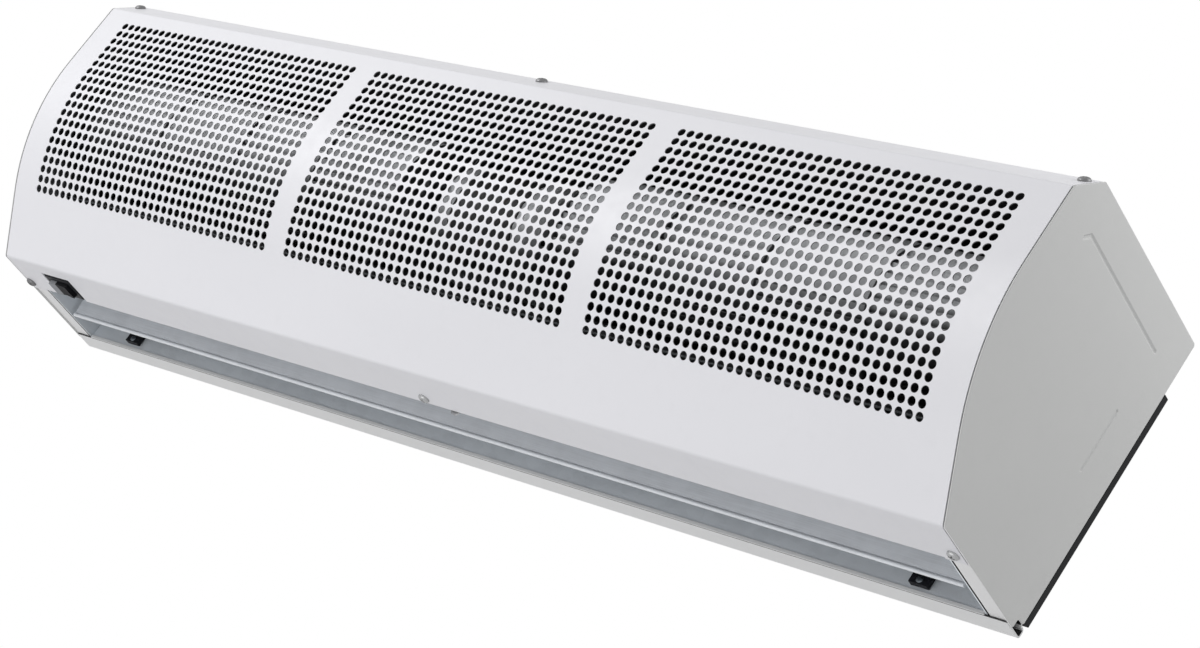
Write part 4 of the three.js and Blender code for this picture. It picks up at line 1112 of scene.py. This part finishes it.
def impeller(side, node):
    """A cross-flow impeller: discs with a ring of hollow blades between each two."""
    low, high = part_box(node)
    start, end = sorted((abs(low.x), abs(high.x)))
    pitch = (end - start - DISC) / BAYS
    bm = bmesh.new()
    radius = (high.z - low.z) / 2
    for i in range(BAYS + 1):
        x = start + i * pitch
        bore = {0: HUB_BORE, BAYS: STUB_BORE}.get(i, radius - BLADE_DEPTH - DISC_RING)
        profile = [
            (bore, x),
            (radius - DISC_EDGE, x),
            (radius, x + DISC * 0.3),
            (radius, x + DISC * 0.7),
            (radius - DISC_EDGE, x + DISC),
            (bore, x + DISC),
        ]
        lathe(bm, [(r, side * along) for r, along in profile], DISC_STEPS, shaft)
    # The discs get painted shade
    for face in bm.faces:
        face.material_index = 1
    for i in range(BAYS):
        x0 = side * (start + i * pitch + DISC)
        x1 = side * (start + (i + 1) * pitch)
        for k in range(BLADES):
            section = blade_section(2 * math.pi * (k + BLADE_OFFSET * i) / BLADES)
            near, far = ([shaft + Vector((x, p.x, p.y)) for p in section] for x in (x0, x1))
            prism(bm, near, far)
    piece(
        f"{node}_blades",
        bm,
        [finishes["aluminium"], disc_shade_metal],
        body="rotor",
        replaces=(node,),
        sharp=30,
    )


impeller(1, "impeller_right")
impeller(-1, "impeller_left")

# ---------- Camera, light and floor ----------

CAMERA_FROM_TOP_BACK = Vector((1439.07, -1323.62, -822.26)) * MM
CAMERA_RIGHT = Vector((0.70548, 0.45969, 0.53943))
CAMERA_UP = Vector((-0.18080, -0.61920, 0.76414))
LENS = 91.36  # mm, on a sensor 36 mm wide
FLOOR_DROP = 2.2  # a unit above a door hangs about this high
FLOOR_RADIUS = 70
FLOOR_WHITE = 0.75  # share of white where the floor is seen, so that it keeps its shadows
WORLD_LEVEL = 0.48
LAMPS = [  # name, place, target, size in metres, power in watts
    ("key_light", (-1.7, -2.3, 0.45), (-0.1, -0.1, 0), (1.6, 1.2), 36),
    ("low_light", (-0.1, -1.2, -1.9), (0, -0.1, 0), (2.4, 1.6), 13),
    ("side_light", (0.75, -0.05, 0.45), (0.45, -0.08, 0), (0.4, 0.4), 1.05),
]


def camera():
    """The camera of the photograph, fitted to the rows of holes."""
    data = bpy.data.cameras.new("camera")
    data.lens = LENS
    data.sensor_width = 36
    data.sensor_fit = "HORIZONTAL"
    data.clip_end = 200
    obj = placed("camera", data)
    right = CAMERA_RIGHT.normalized()
    back = right.cross(CAMERA_UP).normalized()
    up = back.cross(right)
    turn = Matrix((right, up, back)).transposed().to_4x4()
    obj.matrix_world = Matrix.Translation(at(0, 0, 0) + CAMERA_FROM_TOP_BACK) @ turn
    bpy.context.scene.camera = obj


def softbox(name, place, target, size, power):
    """A soft lamp that the camera doesn't see."""
    data = bpy.data.lights.new(name, "AREA")
    data.shape = "RECTANGLE"
    data.size, data.size_y = size
    data.energy = power
    obj = placed(name, data)
    obj.location = place
    obj.rotation_euler = (Vector(target) - Vector(place)).to_track_quat("-Z", "Y").to_euler()
    obj.visible_camera = False


def seen_ray(tree):
    """1 for the rays of the camera, of reflections and through glass, else 0."""
    path = tree.nodes.new("ShaderNodeLightPath")
    seen = path.outputs["Is Camera Ray"]
    for ray in ("Is Glossy Ray", "Is Transmission Ray"):
        either = tree.nodes.new("ShaderNodeMath")
        either.operation = "MAXIMUM"
        tree.links.new(seen, either.inputs[0])
        tree.links.new(path.outputs[ray], either.inputs[1])
        seen = either.outputs[0]
    return seen


def white_world(level):
    """A world that lights at a level and looks white to the camera and in reflections."""
    world = bpy.data.worlds.new("studio")
    bpy.context.scene.world = world
    world.use_nodes = True
    nodes, links = world.node_tree.nodes, world.node_tree.links
    nodes.clear()
    mix = nodes.new("ShaderNodeMixShader")
    links.new(seen_ray(world.node_tree), mix.inputs["Fac"])
    for socket, strength in ((1, level), (2, 1)):
        white = nodes.new("ShaderNodeBackground")
        white.inputs["Color"].default_value = (1, 1, 1, 1)
        white.inputs["Strength"].default_value = strength
        links.new(white.outputs[0], mix.inputs[socket])
    output = nodes.new("ShaderNodeOutputWorld")
    links.new(mix.outputs[0], output.inputs["Surface"])


def pale_floor():
    """A matt floor that keeps its shadows and is paler to the camera and in reflections."""
    bm = bmesh.new()
    bmesh.ops.create_circle(bm, cap_ends=True, segments=64, radius=FLOOR_RADIUS)
    mesh = mesh_of("floor", bm)
    obj = placed("floor", mesh)
    obj.location = (0, 0, -FLOOR_DROP)
    finish = Finish("floor_paint", (0.90, 0.90, 0.90), 0.8)
    finish.tint(finish.noise(3 * MM), (0.885, 0.885, 0.89))
    tree = finish.material.node_tree
    share = tree.nodes.new("ShaderNodeMath")
    share.operation = "MULTIPLY"
    share.inputs[1].default_value = FLOOR_WHITE
    tree.links.new(seen_ray(tree), share.inputs[0])
    white = tree.nodes.new("ShaderNodeEmission")
    mix = tree.nodes.new("ShaderNodeMixShader")
    tree.links.new(share.outputs[0], mix.inputs["Fac"])
    tree.links.new(finish.shader.outputs[0], mix.inputs[1])
    tree.links.new(white.outputs[0], mix.inputs[2])
    tree.links.new(mix.outputs[0], tree.nodes["Material Output"].inputs["Surface"])
    mesh.materials.append(finish.material)


camera()
white_world(WORLD_LEVEL)
for lamp in LAMPS:
    softbox(*lamp)
pale_floor()

bpy.context.scene.view_settings.view_transform = "Standard"
